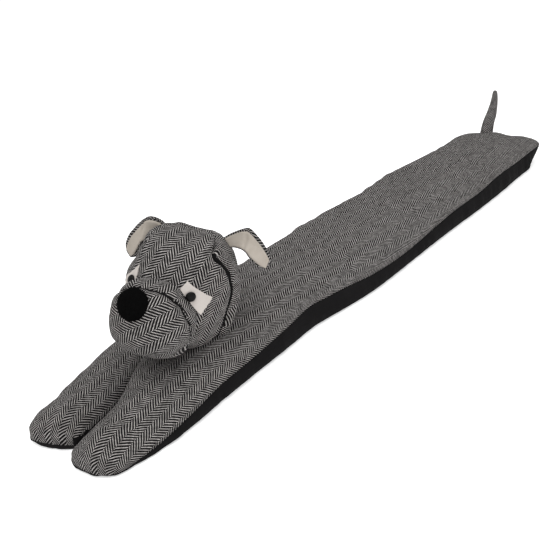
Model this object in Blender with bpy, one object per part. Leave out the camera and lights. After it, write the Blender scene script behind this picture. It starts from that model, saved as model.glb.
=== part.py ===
"""A filled draught excluder in the shape of a dog that lies flat, its head raised behind its two paws.

The dog faces -X, its left side is -Y and the surface that it lies on is z = 0. Sizes are in metres.
"""

import math
from collections import namedtuple

import bmesh
import bpy
from mathutils import Vector

# Clearance between two pieces that are sewn together
GAP = 0.0003

# Body: a long flat cushion, its top panel sewn to a black base and side panel along a wavy seam.
# One row for each place along the body: the two edges, the line between the paws, the seam's height
# at each edge, and the height of the crown.
BodyRow = namedtuple("BodyRow", "x near mid far seam_near seam_far crown")
BODY_ROWS = tuple(BodyRow(*row) for row in (
    (-0.461, -0.086, -0.011, 0.069, 0.003, 0.008, 0.043),
    (-0.433, -0.090, -0.010, 0.067, 0.004, 0.009, 0.046),
    (-0.390, -0.096, -0.008, 0.076, 0.009, 0.012, 0.050),
    (-0.347, -0.097, -0.004, 0.082, 0.016, 0.018, 0.054),
    (-0.300, -0.093, 0.000, 0.087, 0.021, 0.023, 0.056),
    (-0.240, -0.090, 0.001, 0.090, 0.023, 0.027, 0.056),
    (-0.180, -0.088, 0.001, 0.091, 0.028, 0.029, 0.055),
    (-0.140, -0.086, 0.001, 0.091, 0.032, 0.030, 0.054),
    (-0.115, -0.089, 0.000, 0.087, 0.031, 0.030, 0.054),
    (-0.075, -0.096, -0.003, 0.084, 0.030, 0.028, 0.055),
    (-0.030, -0.100, -0.005, 0.086, 0.025, 0.026, 0.056),
    (0.040, -0.099, -0.004, 0.090, 0.021, 0.028, 0.056),
    (0.110, -0.097, -0.005, 0.083, 0.024, 0.030, 0.055),
    (0.170, -0.097, -0.006, 0.079, 0.028, 0.030, 0.055),
    (0.240, -0.098, -0.006, 0.080, 0.029, 0.032, 0.056),
    (0.300, -0.097, -0.007, 0.074, 0.033, 0.031, 0.055),
    (0.370, -0.093, -0.008, 0.068, 0.030, 0.030, 0.054),
    (0.458, -0.092, -0.007, 0.067, 0.032, 0.031, 0.053),
))
ROW_STEPS = 52
COLUMNS_PER_PAW = 7
ROW_CROWDING = 0.5              # rows lie closer together at the paws and at the tail end
PAW_ROUNDING = 0.034            # how far the tip of a paw stands forward of its sides
PAW_SQUARENESS = 2.8
FAR_PAW_SLANT = 0.014           # each paw's left side lies this much farther back than its right side
NEAR_PAW_SLANT = 0.004
TAIL_END_ROUNDING = 0.024
TAIL_END_SQUARENESS = 4.0
EDGE_FALL = 0.046               # distance over which the crown falls to a side edge
PAW_FALL = 0.033                # and to the tips, and to the slit between the paws
TAIL_END_FALL = 0.034
FALL_SQUARENESS = 2.2
NEAR_FLANK_FALL = 0.048         # the near paw slopes down to the slit over a longer way, and flatter
NEAR_FLANK_SQUARENESS = 1.4
SLIT_END = -0.392               # the paws part in front of this place
VALLEY_END = -0.295             # and the hollow behind the slit fades out here
SLIT_FLOOR = 0.004              # cloth left above the seam at the bottom of the slit

# Base panel: rings below the seam, as (share of the seam's height, step outward)
FULL_BAND = 0.012               # a lower band than this bulges and draws in less
BASE_RINGS = ((0.55, 0.0015), (0.15, -0.0010), (0.0, -0.0050))

# Head: a stuffed head of a domed face and a domed back, turned and tilted on the body
HEAD_CENTRE = (-0.271, -0.020, 0.117)
HEAD_TILT = math.radians(20.0)  # its left ear down
HEAD_PITCH = math.radians(17.0)
HEAD_YAW = math.radians(32.0)
HEAD_HALF_WIDTH = 0.0585
HEAD_NEAR_SHIFT = 0.0065        # the head is fuller on its left side
HEAD_HALF_HEIGHT = 0.071
HEAD_SQUARENESS = 2.7
FAR_TEMPLE = (0.05, 0.004, 0.014)       # the far side swells by this share at this height, over this reach
FAR_HOLLOW = (0.08, 0.034, 0.018)       # and draws in above it, below the ear
HEAD_SEAM_FORWARD = -0.003
FACE_DEPTH = 0.067
BACK_DEPTH = 0.052
BACK_WIDTH_SHARE = 1.03         # the back panel's size beside the face's
BACK_HEIGHT_SHARE = 0.95
DOME_SQUARENESS = 2.2
SEAM_PINCH = 0.96               # the width at the seam, where thread draws the cloth in
SIDES = 40
DOME_STEPS = 8
DOME_START = 0.06               # first and last ring of a dome, as shares of the way to its tip
DOME_END = 0.92

# Muzzle: a stuffed pillow on the face, of a front panel and the band that joins it to the face
MUZZLE_CENTRE = (0.002, 0.058, -0.0225)     # left, forward, up from the head's centre
MUZZLE_HALF_WIDTH = 0.0458
MUZZLE_TAPER = 0.06             # wider than that at its bottom, narrower at its top
MUZZLE_HALF_HEIGHT = 0.0425
MUZZLE_DEPTH = 0.042
MUZZLE_TAIL = 0.030             # how far it reaches back into the face
MUZZLE_SQUARENESS = 2.4
MUZZLE_START = 0.04             # first ring, as a share of the way round
PANEL_EDGE_FORWARD = 0.0755     # where the front panel's edge crosses the level of the head's centre
PANEL_EDGE_SLOPE = 0.45         # and how far it leans forward for each metre up

# Nose, eyes
NOSE_PLACE = (-0.0078, 0.0950, -0.0018)
NOSE_FACING = (-0.13, 1.0, 0.36)         # left, forward, up
NOSE_RADIUS = 0.0170
NOSE_THICKNESS = 0.0110
# Eye patches and eyes, as left and up in the face's front view
PatchCorners = namedtuple("PatchCorners", "inner_top inner_low outer_low outer_top")
NEAR_PATCH = PatchCorners((0.0305, 0.0245), (0.0255, 0.0152), (0.0482, -0.0103), (0.0540, 0.0090))
FAR_PATCH = PatchCorners((-0.0263, 0.0262), (-0.0250, 0.0110), (-0.0400, -0.0100), (-0.0425, 0.0075))
PATCH_THICKNESS = 0.0015
SLOPE_STEP = 0.002              # distance over which the face's slope is taken
PATCH_ALONG = 8
PATCH_ACROSS = 4
NEAR_EYE = (0.0370, 0.0092)
FAR_EYE = (-0.0318, 0.0088)
EYE_RADIUS = 0.0057
EYE_HEIGHT = 0.0035
EYE_SIDES = 20
EYE_RINGS = (                   # share of the radius, share of the height
    (0.94, 0.0), (1.0, 0.25), (0.93, 0.55), (0.72, 0.80), (0.38, 0.96), (0.12, 1.0),
)

# Ears: two sheets each, folded once. One row for each place from the root to the tip:
# upper edge and lower edge as left, forward, up from the head's centre.
EarRow = namedtuple("EarRow", "upper lower")
NEAR_EAR_ROWS = (
    EarRow((0.034, -0.012, 0.058), (0.042, -0.012, 0.050)),
    EarRow((0.048, -0.010, 0.071), (0.053, -0.010, 0.056)),
    EarRow((0.067, -0.006, 0.082), (0.068, -0.002, 0.057)),
    EarRow((0.080, -0.010, 0.074), (0.078, -0.004, 0.049)),
    EarRow((0.091, -0.012, 0.063), (0.088, -0.008, 0.043)),
    EarRow((0.099, -0.012, 0.051), (0.097, -0.011, 0.042)),
)
FAR_EAR_ROWS = (
    EarRow((-0.026, -0.012, 0.058), (-0.040, -0.012, 0.038)),
    EarRow((-0.036, -0.010, 0.066), (-0.047, -0.008, 0.036)),
    EarRow((-0.050, -0.006, 0.067), (-0.053, 0.000, 0.033)),
    EarRow((-0.062, -0.010, 0.056), (-0.055, -0.003, 0.026)),
    EarRow((-0.0715, -0.012, 0.042), (-0.057, -0.006, 0.020)),
    EarRow((-0.0755, -0.013, 0.029), (-0.060, -0.009, 0.016)),
    EarRow((-0.0735, -0.013, 0.019), (-0.066, -0.011, 0.0135)),
)
EAR_SHEET = 0.0018
EAR_GAP = 0.0005
EAR_ALONG = 10
EAR_ACROSS = 5
EAR_CUP = 0.0025                # how far an ear's middle hollows away from the viewer
EAR_CUP_END = 0.91              # share of the ear's length at which the hollow fades out
EAR_STEP = 0.01                 # share of the ear over which its slope is taken
LINING_START = 0.02             # where the lining starts, as a share of the ear's length
LINING_MARGIN = 0.10            # share of the ear's width that the outer cloth shows at its upper edge
LINING_LOW_MARGIN = 0.04        # at its lower edge
LINING_TIP_MARGIN = 0.06        # and at its tip, as a share of the ear's length

# Tail: a tapered tube that stands on the tail end, as (x, y, z, radius)
TAIL_POINTS = (
    (0.4350, 0.0030, 0.0380, 0.0110),
    (0.4430, 0.0020, 0.0600, 0.0102),
    (0.4550, 0.0000, 0.0780, 0.0086),
    (0.4650, -0.0010, 0.0950, 0.0064),
    (0.4700, -0.0010, 0.1080, 0.0046),
    (0.4715, -0.0010, 0.1150, 0.0028),
)
TAIL_STEPS = 14

# Colours and finishes: name, colour, roughness
WEAVE = ("herringbone", (0.19, 0.185, 0.185, 1.0), 0.9)
BLACK_COTTON = ("black_cotton", (0.012, 0.011, 0.012, 1.0), 0.85)
CREAM_FELT = ("cream_felt", (0.62, 0.57, 0.50, 1.0), 0.95)
BLACK_FLEECE = ("black_fleece", (0.004, 0.004, 0.004, 1.0), 1.0)
BLACK_BEAD = ("black_bead", (0.006, 0.006, 0.006, 1.0), 0.25)


def clear_scene():
    for obj in list(bpy.data.objects):
        bpy.data.objects.remove(obj, do_unlink=True)


def new_collection(name):
    collection = bpy.data.collections.new(name)
    bpy.context.scene.collection.children.link(collection)
    return collection


def finish(look):
    name, colour, roughness = look
    material = bpy.data.materials.get(name) or bpy.data.materials.new(name)
    material.use_nodes = True
    shader = material.node_tree.nodes["Principled BSDF"]
    shader.inputs["Base Color"].default_value = colour
    shader.inputs["Roughness"].default_value = roughness
    shader.inputs["Metallic"].default_value = 0.0
    return material


def add_object(name, bm, look, collection, parent=None):
    """Turn an edited mesh into a smooth-shaded object with its faces pointing out."""
    bmesh.ops.recalc_face_normals(bm, faces=bm.faces)
    mesh = bpy.data.meshes.new(name)
    bm.to_mesh(mesh)
    bm.free()
    mesh.shade_smooth()
    mesh.set_sharp_from_angle(angle=math.radians(50.0))
    mesh.materials.append(finish(look))
    obj = bpy.data.objects.new(name, mesh)
    collection.objects.link(obj)
    obj.parent = parent
    return obj


def grown_cutter(obj, distance, collection):
    """A copy of a piece, larger by a distance all round, to cut its neighbours with."""
    bm = bmesh.new()
    bm.from_mesh(obj.data)
    bm.normal_update()
    moved = [vert.co + vert.normal * distance for vert in bm.verts]
    for vert, place in zip(bm.verts, moved):
        vert.co = place
    mesh = bpy.data.meshes.new(obj.name + "_room")
    bm.to_mesh(mesh)
    bm.free()
    cutter = bpy.data.objects.new(obj.name + "_room", mesh)
    collection.objects.link(cutter)
    cutter.parent = obj.parent
    cutter.hide_render = True
    cutter.display_type = "WIRE"
    return cutter


def cut_away(obj, cutter):
    modifier = obj.modifiers.new("cut_by_" + cutter.name, "BOOLEAN")
    modifier.operation = "DIFFERENCE"
    modifier.solver = "EXACT"
    modifier.object = cutter


# Body

def curve_through(values, places, at):
    """A smooth curve through values at rising places, read at one place."""
    last = len(places) - 1
    at = min(max(at, places[0]), places[last])
    i = max(k for k in range(last) if places[k] <= at)

    def slope(k):
        low = max(k - 1, 0)
        high = min(k + 1, last)
        return (values[high] - values[low]) / (places[high] - places[low])

    span = places[i + 1] - places[i]
    t = (at - places[i]) / span
    start = values[i] * (1 + 2 * t) * (1 - t) ** 2 + slope(i) * span * t * (1 - t) ** 2
    end = values[i + 1] * t * t * (3 - 2 * t) - slope(i + 1) * span * t * t * (1 - t)
    return start + end


ROW_PLACES = [row.x for row in BODY_ROWS]


def body_row(x):
    columns = zip(*[row[1:] for row in BODY_ROWS])
    return BodyRow(x, *[curve_through(column, ROW_PLACES, x) for column in columns])


def fall(share, squareness=FALL_SQUARENESS):
    """Height of a stuffed edge, 0 at the seam and 1 from the end of the fall."""
    left = 1.0 - min(max(share, 0.0), 1.0)
    return (1.0 - left ** squareness) ** (1.0 / squareness)


def rounded_end(across, squareness):
    """How far an end stands back from its tip, 0 in the middle and 1 at its sides."""
    return 1.0 - (1.0 - min(abs(across), 1.0) ** squareness) ** (1.0 / squareness)


def ease(share):
    return share - ROW_CROWDING * math.sin(2 * math.pi * share) / (2 * math.pi)


def body_place(along, column):
    """Plan position of a grid point, with its distances to the front and the back edge."""
    far_paw = column > COLUMNS_PER_PAW
    step = column - COLUMNS_PER_PAW if far_paw else column
    in_paw = -math.cos(math.pi * step / COLUMNS_PER_PAW)
    front = BODY_ROWS[0].x + PAW_ROUNDING * rounded_end(in_paw, PAW_SQUARENESS)
    slant = FAR_PAW_SLANT if far_paw else NEAR_PAW_SLANT
    front -= slant * in_paw * (1.0 - in_paw ** 4)
    across = (in_paw + 1.0) / 2.0 if far_paw else (in_paw - 1.0) / 2.0
    back = BODY_ROWS[-1].x - TAIL_END_ROUNDING * rounded_end(across, TAIL_END_SQUARENESS)
    x = front + (back - front) * ease(along)
    row = body_row(x)
    if far_paw:
        y = row.mid + (row.far - row.mid) * across
    else:
        y = row.mid + (row.mid - row.near) * across
    return row, y, x - front, back - x


def body_point(along, column):
    """A point of the top panel and the same point on the level of the seam."""
    row, y, from_front, from_back = body_place(along, column)
    seam = row.seam_near + (row.seam_far - row.seam_near) * (y - row.near) / (row.far - row.near)
    rise = fall(min(y - row.near, row.far - y) / EDGE_FALL)
    rise *= fall(from_front / PAW_FALL) * fall(from_back / TAIL_END_FALL)
    slit = 1.0 - min(max((row.x - SLIT_END) / (VALLEY_END - SLIT_END), 0.0), 1.0)
    slit = slit * slit * (3.0 - 2.0 * slit)
    floor = SLIT_FLOOR / (row.crown - seam)
    near_paw = slit if y < row.mid else 0.0
    reach = PAW_FALL + near_paw * (NEAR_FLANK_FALL - PAW_FALL)
    squareness = FALL_SQUARENESS + near_paw * (NEAR_FLANK_SQUARENESS - FALL_SQUARENESS)
    flank = fall(abs(y - row.mid) / reach, squareness)
    valley = 1.0 - slit * (1.0 - floor) * (1.0 - flank)
    top = seam + (row.crown - seam) * rise * valley
    return Vector((row.x, y, top)), Vector((row.x, y, seam))


def body_grid():
    columns = 2 * COLUMNS_PER_PAW
    return [[body_point(i / ROW_STEPS, j) for j in range(columns + 1)] for i in range(ROW_STEPS + 1)]


def grid_faces(bm, verts):
    """Triangles over a grid, whose diagonals run toward its middle."""
    rows = len(verts) - 1
    columns = len(verts[0]) - 1
    for i in range(rows):
        for j in range(columns):
            corners = [verts[i][j], verts[i + 1][j], verts[i + 1][j + 1], verts[i][j + 1]]
            if (i < rows / 2) != (j < columns / 2):
                corners = corners[1:] + corners[:1]
            bm.faces.new(corners[:3])
            bm.faces.new((corners[0], corners[2], corners[3]))


def rim_of(rows):
    """The points around the edge of a grid, in order."""
    last = len(rows[0]) - 1
    rim = list(rows[0])
    rim += [row[last] for row in rows[1:]]
    rim += list(reversed(rows[-1][:last]))
    rim += [row[0] for row in reversed(rows[1:-1])]
    return rim


def make_body_top(collection):
    """The woven top panel and its filling, down to the seam."""
    bm = bmesh.new()
    grid = body_grid()
    lift = Vector((0.0, 0.0, GAP / 2))
    last_row = len(grid) - 1
    last_column = len(grid[0]) - 1
    top = []
    bottom = []
    for i, row in enumerate(grid):
        top.append([])
        bottom.append([])
        for j, (high, low) in enumerate(row):
            under = bm.verts.new(low + lift)
            on_rim = i in (0, last_row) or j in (0, last_column)
            bottom[i].append(under)
            top[i].append(under if on_rim else bm.verts.new(high + lift))
    grid_faces(bm, top)
    grid_faces(bm, bottom)
    return add_object("body_top", bm, WEAVE, collection)


def make_body_base(collection):
    """The black base: its side band below the seam and the flat bottom that it lies on."""
    bm = bmesh.new()
    drop = Vector((0.0, 0.0, GAP / 2))
    seam_verts = [[bm.verts.new(low - drop) for high, low in row] for row in body_grid()]
    grid_faces(bm, seam_verts)
    upper = rim_of(seam_verts)
    count = len(upper)
    seam = [vert.co.copy() for vert in upper]
    outward = []
    for k in range(count):
        along = seam[(k + 1) % count] - seam[k - 1]
        outward.append(Vector((-along.y, along.x, 0.0)).normalized())
    for share, step in BASE_RINGS:
        ring = []
        for k in range(count):
            place = seam[k] + outward[k] * step * min(1.0, seam[k].z / FULL_BAND)
            ring.append(bm.verts.new((place.x, place.y, seam[k].z * share)))
        for k in range(count):
            after = (k + 1) % count
            bm.faces.new((upper[k], upper[after], ring[after], ring[k]))
        upper = ring
    bm.faces.new(upper)
    return add_object("body_base", bm, BLACK_COTTON, collection)


# Head

def head_place(left, forward, up):
    """A place in the head's own frame, whose -X is forward and -Y is the dog's left."""
    return Vector((-forward, -left, up))


def outline_point(angle, half_width, half_height, squareness):
    """Left and up of a rounded outline that lies between an oval and a box."""
    left = math.copysign(abs(math.cos(angle)) ** (2.0 / squareness), math.cos(angle))
    up = math.copysign(abs(math.sin(angle)) ** (2.0 / squareness), math.sin(angle))
    return half_width * left, half_height * up


def head_outline(angle):
    """Left and up of the head's outline in its front view, from the middle of the head."""
    left, up = outline_point(angle, HEAD_HALF_WIDTH, HEAD_HALF_HEIGHT, HEAD_SQUARENESS)
    return left * far_side_share(left, up), up


def far_side_share(left, up):
    """How much wider the head is than its plain outline, on its far side."""
    if left >= 0.0:
        return 1.0
    swell, swell_up, swell_reach = FAR_TEMPLE
    hollow, hollow_up, hollow_reach = FAR_HOLLOW
    share = 1.0 + swell * math.exp(-((up - swell_up) / swell_reach) ** 2)
    return share - hollow * math.exp(-((up - hollow_up) / hollow_reach) ** 2)


def dome_height(share, squareness=DOME_SQUARENESS):
    """Height of a dome of height 1, at a share of the way from its middle to its rim."""
    return (1.0 - min(share, 1.0) ** squareness) ** (1.0 / squareness)


def loft(bm, rings):
    """Join rings of equally many points and close both ends."""
    verts = [[bm.verts.new(point) for point in ring] for ring in rings]
    for low, high in zip(verts, verts[1:]):
        for k in range(len(low)):
            after = (k + 1) % len(low)
            bm.faces.new((low[k], low[after], high[after], high[k]))
    bm.faces.new(list(reversed(verts[0])))
    bm.faces.new(verts[-1])


def head_ring(width_share, height_share, forward):
    ring = []
    for k in range(SIDES):
        angle = 2 * math.pi * k / SIDES
        left, up = head_outline(angle)
        ring.append(head_place(HEAD_NEAR_SHIFT + left * width_share, forward, up * height_share))
    return ring


def make_head_dome(name, depth, direction, collection, head):
    """Half of the head, from the seam around it to the front or the back."""
    wide, high = (1.0, 1.0) if direction > 0 else (BACK_WIDTH_SHARE, BACK_HEIGHT_SHARE)
    seam = HEAD_SEAM_FORWARD + direction * GAP / 2
    rings = [head_ring(SEAM_PINCH, SEAM_PINCH, seam)]
    for k in range(DOME_STEPS + 1):
        turn = math.pi / 2 * (DOME_START + (DOME_END - DOME_START) * k / DOME_STEPS)
        share = math.cos(turn)
        forward = seam + direction * depth * dome_height(share)
        rings.append(head_ring(share * wide, share * high, forward))
    bm = bmesh.new()
    loft(bm, rings)
    return add_object(name, bm, WEAVE, collection, head)


def face_forward(left, up):
    """How far forward the face lies at a place in its front view."""
    half_width = HEAD_HALF_WIDTH * far_side_share(left - HEAD_NEAR_SHIFT, up)
    across = abs((left - HEAD_NEAR_SHIFT) / half_width) ** HEAD_SQUARENESS
    across += abs(up / HEAD_HALF_HEIGHT) ** HEAD_SQUARENESS
    share = across ** (1.0 / HEAD_SQUARENESS)
    return HEAD_SEAM_FORWARD + FACE_DEPTH * dome_height(share)


def make_muzzle_form(name, collection, head, behind):
    """The muzzle's pillow on one side of its panel seam."""
    left0, forward0, up0 = MUZZLE_CENTRE
    rings = []
    for k in range(2 * DOME_STEPS + 1):
        turn = math.pi * (MUZZLE_START + (1.0 - 2 * MUZZLE_START) * k / (2 * DOME_STEPS))
        turn -= math.pi / 2
        share = math.cos(turn)
        reach = MUZZLE_DEPTH if turn > 0 else MUZZLE_TAIL
        forward = forward0 + math.copysign(reach * dome_height(share, MUZZLE_SQUARENESS), turn)
        ring = []
        for side in range(SIDES):
            angle = 2 * math.pi * side / SIDES
            left, up = outline_point(angle, MUZZLE_HALF_WIDTH, MUZZLE_HALF_HEIGHT, MUZZLE_SQUARENESS)
            left *= 1.0 - MUZZLE_TAPER * up / MUZZLE_HALF_HEIGHT
            ring.append(head_place(left0 + left * share, forward, up0 + up * share))
        rings.append(ring)
    bm = bmesh.new()
    loft(bm, rings)
    seam_normal = head_place(0.0, 1.0, -PANEL_EDGE_SLOPE).normalized()
    on_seam = head_place(0.0, PANEL_EDGE_FORWARD, 0.0)
    on_seam += seam_normal * (-GAP / 2 if behind else GAP / 2)
    everything = bm.verts[:] + bm.edges[:] + bm.faces[:]
    cut = bmesh.ops.bisect_plane(
        bm, geom=everything, plane_co=on_seam, plane_no=seam_normal,
        clear_outer=behind, clear_inner=not behind,
    )
    rim = [item for item in cut["geom_cut"] if isinstance(item, bmesh.types.BMEdge)]
    bmesh.ops.contextual_create(bm, geom=rim)
    return add_object(name, bm, WEAVE, collection, head)


def make_nose(collection, head):
    bm = bmesh.new()
    bmesh.ops.create_uvsphere(bm, u_segments=28, v_segments=14, radius=1.0)
    facing = head_place(*NOSE_FACING).normalized()
    turn = facing.to_track_quat("Z", "Y")
    for vert in bm.verts:
        flat = Vector((vert.co.x * NOSE_RADIUS, vert.co.y * NOSE_RADIUS, vert.co.z * NOSE_THICKNESS))
        vert.co = head_place(*NOSE_PLACE) + turn @ flat
    return add_object("nose", bm, BLACK_FLEECE, collection, head)


def face_normal(left, up):
    """The way that the face points at a place in its front view."""
    step = SLOPE_STEP
    across = head_place(left + step, face_forward(left + step, up), up)
    across -= head_place(left - step, face_forward(left - step, up), up)
    upward = head_place(left, face_forward(left, up + step), up + step)
    upward -= head_place(left, face_forward(left, up - step), up - step)
    normal = across.cross(upward).normalized()
    return normal if normal.x < 0 else -normal


def on_face(left, up, height):
    return head_place(left, face_forward(left, up), up) + face_normal(left, up) * height


def make_eye_patch(name, corners, collection, head):
    """A four-cornered felt sheet that lies on the curve of the face."""
    bm = bmesh.new()
    layers = []
    for height in (-GAP, PATCH_THICKNESS):
        layer = []
        for i in range(PATCH_ALONG + 1):
            s = i / PATCH_ALONG
            high = [a + (b - a) * s for a, b in zip(corners.inner_top, corners.outer_top)]
            low = [a + (b - a) * s for a, b in zip(corners.inner_low, corners.outer_low)]
            layer.append([])
            for j in range(PATCH_ACROSS + 1):
                t = j / PATCH_ACROSS
                left, up = [a + (b - a) * t for a, b in zip(low, high)]
                layer[i].append(bm.verts.new(on_face(left, up, height)))
        grid_faces(bm, layer)
        layers.append(rim_of(layer))
    low, high = layers
    for k in range(len(low)):
        after = (k + 1) % len(low)
        bm.faces.new((low[k], low[after], high[after], high[k]))
    return add_object(name, bm, CREAM_FELT, collection, head)


def make_eye(name, place, collection, head):
    """A flat-backed round bead on its felt patch."""
    left, up = place
    normal = face_normal(left, up)
    seat = on_face(left, up, PATCH_THICKNESS + GAP)
    turn = normal.to_track_quat("Z", "Y")
    rings = []
    for share, height in EYE_RINGS:
        ring = []
        for k in range(EYE_SIDES):
            angle = 2 * math.pi * k / EYE_SIDES
            reach = EYE_RADIUS * share
            flat = Vector((reach * math.cos(angle), reach * math.sin(angle), EYE_HEIGHT * height))
            ring.append(seat + turn @ flat)
        rings.append(ring)
    bm = bmesh.new()
    loft(bm, rings)
    return add_object(name, bm, BLACK_BEAD, collection, head)


def ear_surface(rows, along, across):
    """A place on the ear between its two sheets, from root to tip and from upper to lower edge."""
    places = list(range(len(rows)))
    at = along * (len(rows) - 1)
    upper = [curve_through([row.upper[k] for row in rows], places, at) for k in range(3)]
    lower = [curve_through([row.lower[k] for row in rows], places, at) for k in range(3)]
    left, forward, up = [a + (b - a) * across for a, b in zip(upper, lower)]
    hollow = math.sin(math.pi * across) * math.sin(math.pi * min(along / EAR_CUP_END, 1.0))
    forward -= EAR_CUP * hollow
    return head_place(left, forward, up)


def make_ear_sheet(name, rows, lining, collection, head):
    """One sheet of an ear: the woven outer cloth behind, or the felt lining in front."""
    first, last, upper, lower = 0.0, 1.0, 0.0, 1.0
    if lining:
        first, last = LINING_START, 1.0 - LINING_TIP_MARGIN
        upper, lower = LINING_MARGIN, 1.0 - LINING_LOW_MARGIN
    near_side = EAR_GAP / 2 if lining else -EAR_GAP / 2
    far_side = near_side + (EAR_SHEET if lining else -EAR_SHEET)
    step = EAR_STEP
    bm = bmesh.new()
    layers = []
    for height in (near_side, far_side):
        layer = []
        for i in range(EAR_ALONG + 1):
            along = first + (last - first) * i / EAR_ALONG
            layer.append([])
            for j in range(EAR_ACROSS + 1):
                across = upper + (lower - upper) * j / EAR_ACROSS
                here = ear_surface(rows, along, across)
                outward = ear_surface(rows, min(along + step, 1.0), across)
                outward -= ear_surface(rows, max(along - step, 0.0), across)
                downward = ear_surface(rows, along, across + step) - ear_surface(rows, along, across - step)
                normal = outward.cross(downward).normalized()
                if normal.x > 0:
                    normal.negate()
                layer[i].append(bm.verts.new(here + normal * height))
        grid_faces(bm, layer)
        layers.append(rim_of(layer))
    low, high = layers
    for k in range(len(low)):
        after = (k + 1) % len(low)
        bm.faces.new((low[k], low[after], high[after], high[k]))
    return add_object(name, bm, CREAM_FELT if lining else WEAVE, collection, head)


# Tail

def make_tail(collection):
    curve = bpy.data.curves.new("tail", "CURVE")
    curve.dimensions = "3D"
    curve.bevel_depth = 1.0
    curve.bevel_resolution = 5
    curve.use_fill_caps = True
    spline = curve.splines.new("POLY")
    spline.points.add(TAIL_STEPS)
    places = list(range(len(TAIL_POINTS)))
    for k in range(TAIL_STEPS + 1):
        at = k / TAIL_STEPS * (len(TAIL_POINTS) - 1)
        x, y, z, radius = [
            curve_through([point[c] for point in TAIL_POINTS], places, at) for c in range(4)
        ]
        spline.points[k].co = (x, y, z, 1.0)
        spline.points[k].radius = radius
    guide = bpy.data.objects.new("tail_guide", curve)
    collection.objects.link(guide)
    depsgraph = bpy.context.evaluated_depsgraph_get()
    tube = bpy.data.meshes.new_from_object(guide.evaluated_get(depsgraph))
    bm = bmesh.new()
    bm.from_mesh(tube)
    bmesh.ops.remove_doubles(bm, verts=bm.verts, dist=0.00001)
    bpy.data.objects.remove(guide, do_unlink=True)
    return add_object("tail", bm, WEAVE, collection)


def centre_on_floor(pieces, root):
    """Move everything so that the origin lies under the middle of the whole, on the floor."""
    bpy.context.view_layer.update()
    depsgraph = bpy.context.evaluated_depsgraph_get()
    corners = []
    for piece in pieces:
        shown = piece.evaluated_get(depsgraph)
        corners += [piece.matrix_world @ vert.co for vert in shown.data.vertices]
    low = [min(corner[k] for corner in corners) for k in range(3)]
    high = [max(corner[k] for corner in corners) for k in range(3)]
    root.location = (-(low[0] + high[0]) / 2, -(low[1] + high[1]) / 2, -low[2])


def main():
    clear_scene()
    parts = new_collection("draught_excluder")
    cutters = new_collection("cutters")

    root = bpy.data.objects.new("draught_excluder_root", None)
    head = bpy.data.objects.new("head_pose", None)
    for empty in (root, head):
        parts.objects.link(empty)
    head.parent = root
    head.location = HEAD_CENTRE
    head.rotation_euler = (HEAD_TILT, HEAD_PITCH, HEAD_YAW)

    body_top = make_body_top(parts)
    body_base = make_body_base(parts)
    tail = make_tail(parts)
    for obj in (body_top, body_base, tail):
        obj.parent = root
    body_room = grown_cutter(body_top, GAP, cutters)
    cut_away(tail, body_room)

    face = make_head_dome("head_face", FACE_DEPTH, 1, parts, head)
    back = make_head_dome("head_back", BACK_DEPTH, -1, parts, head)
    face_room = grown_cutter(face, GAP, cutters)
    back_room = grown_cutter(back, GAP, cutters)
    for obj in (face, back):
        cut_away(obj, body_room)

    band = make_muzzle_form("muzzle_band", parts, head, True)
    front = make_muzzle_form("muzzle_front", parts, head, False)
    band_room = grown_cutter(band, GAP, cutters)
    front_room = grown_cutter(front, GAP, cutters)
    for obj in (band, front):
        cut_away(obj, face_room)
        cut_away(obj, body_room)

    nose = make_nose(parts, head)
    cut_away(nose, front_room)
    cut_away(nose, band_room)

    pieces = [body_top, body_base, tail, face, back, band, front, nose]
    for side_name, corners, eye_place, rows in (
        ("near", NEAR_PATCH, NEAR_EYE, NEAR_EAR_ROWS), ("far", FAR_PATCH, FAR_EYE, FAR_EAR_ROWS),
    ):
        patch = make_eye_patch("eye_patch_" + side_name, corners, parts, head)
        cut_away(patch, face_room)
        cut_away(patch, band_room)
        eye = make_eye("eye_" + side_name, eye_place, parts, head)
        cut_away(band, grown_cutter(eye, GAP, cutters))
        pieces += [patch, eye]
        for lining, cloth in ((False, "outer"), (True, "lining")):
            ear = make_ear_sheet("ear_" + side_name + "_" + cloth, rows, lining, parts, head)
            cut_away(ear, face_room)
            cut_away(ear, back_room)
            pieces.append(ear)

    centre_on_floor(pieces, root)


main()
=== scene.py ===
"""A filled draught excluder in the shape of a dog: black and white herringbone cloth over a black base."""

import math
from collections import namedtuple

import bmesh
import bpy
import numpy as np
from mathutils import Euler, Matrix, Vector, noise
from mathutils.bvhtree import BVHTree


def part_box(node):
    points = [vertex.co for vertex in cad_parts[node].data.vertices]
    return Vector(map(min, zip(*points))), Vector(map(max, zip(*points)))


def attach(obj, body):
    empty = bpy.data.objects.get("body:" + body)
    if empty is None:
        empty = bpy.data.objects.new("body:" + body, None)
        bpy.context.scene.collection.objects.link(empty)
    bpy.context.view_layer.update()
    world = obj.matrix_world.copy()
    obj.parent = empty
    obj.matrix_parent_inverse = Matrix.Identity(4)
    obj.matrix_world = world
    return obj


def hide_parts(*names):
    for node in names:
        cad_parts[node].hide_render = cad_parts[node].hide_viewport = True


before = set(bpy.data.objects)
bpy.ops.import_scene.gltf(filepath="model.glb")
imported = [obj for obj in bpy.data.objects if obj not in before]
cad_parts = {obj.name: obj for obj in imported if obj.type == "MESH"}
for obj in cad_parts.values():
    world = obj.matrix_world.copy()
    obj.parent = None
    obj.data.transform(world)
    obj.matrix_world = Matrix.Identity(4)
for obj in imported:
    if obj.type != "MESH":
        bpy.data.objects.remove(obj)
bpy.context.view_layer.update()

GAP = 0.0003

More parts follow.
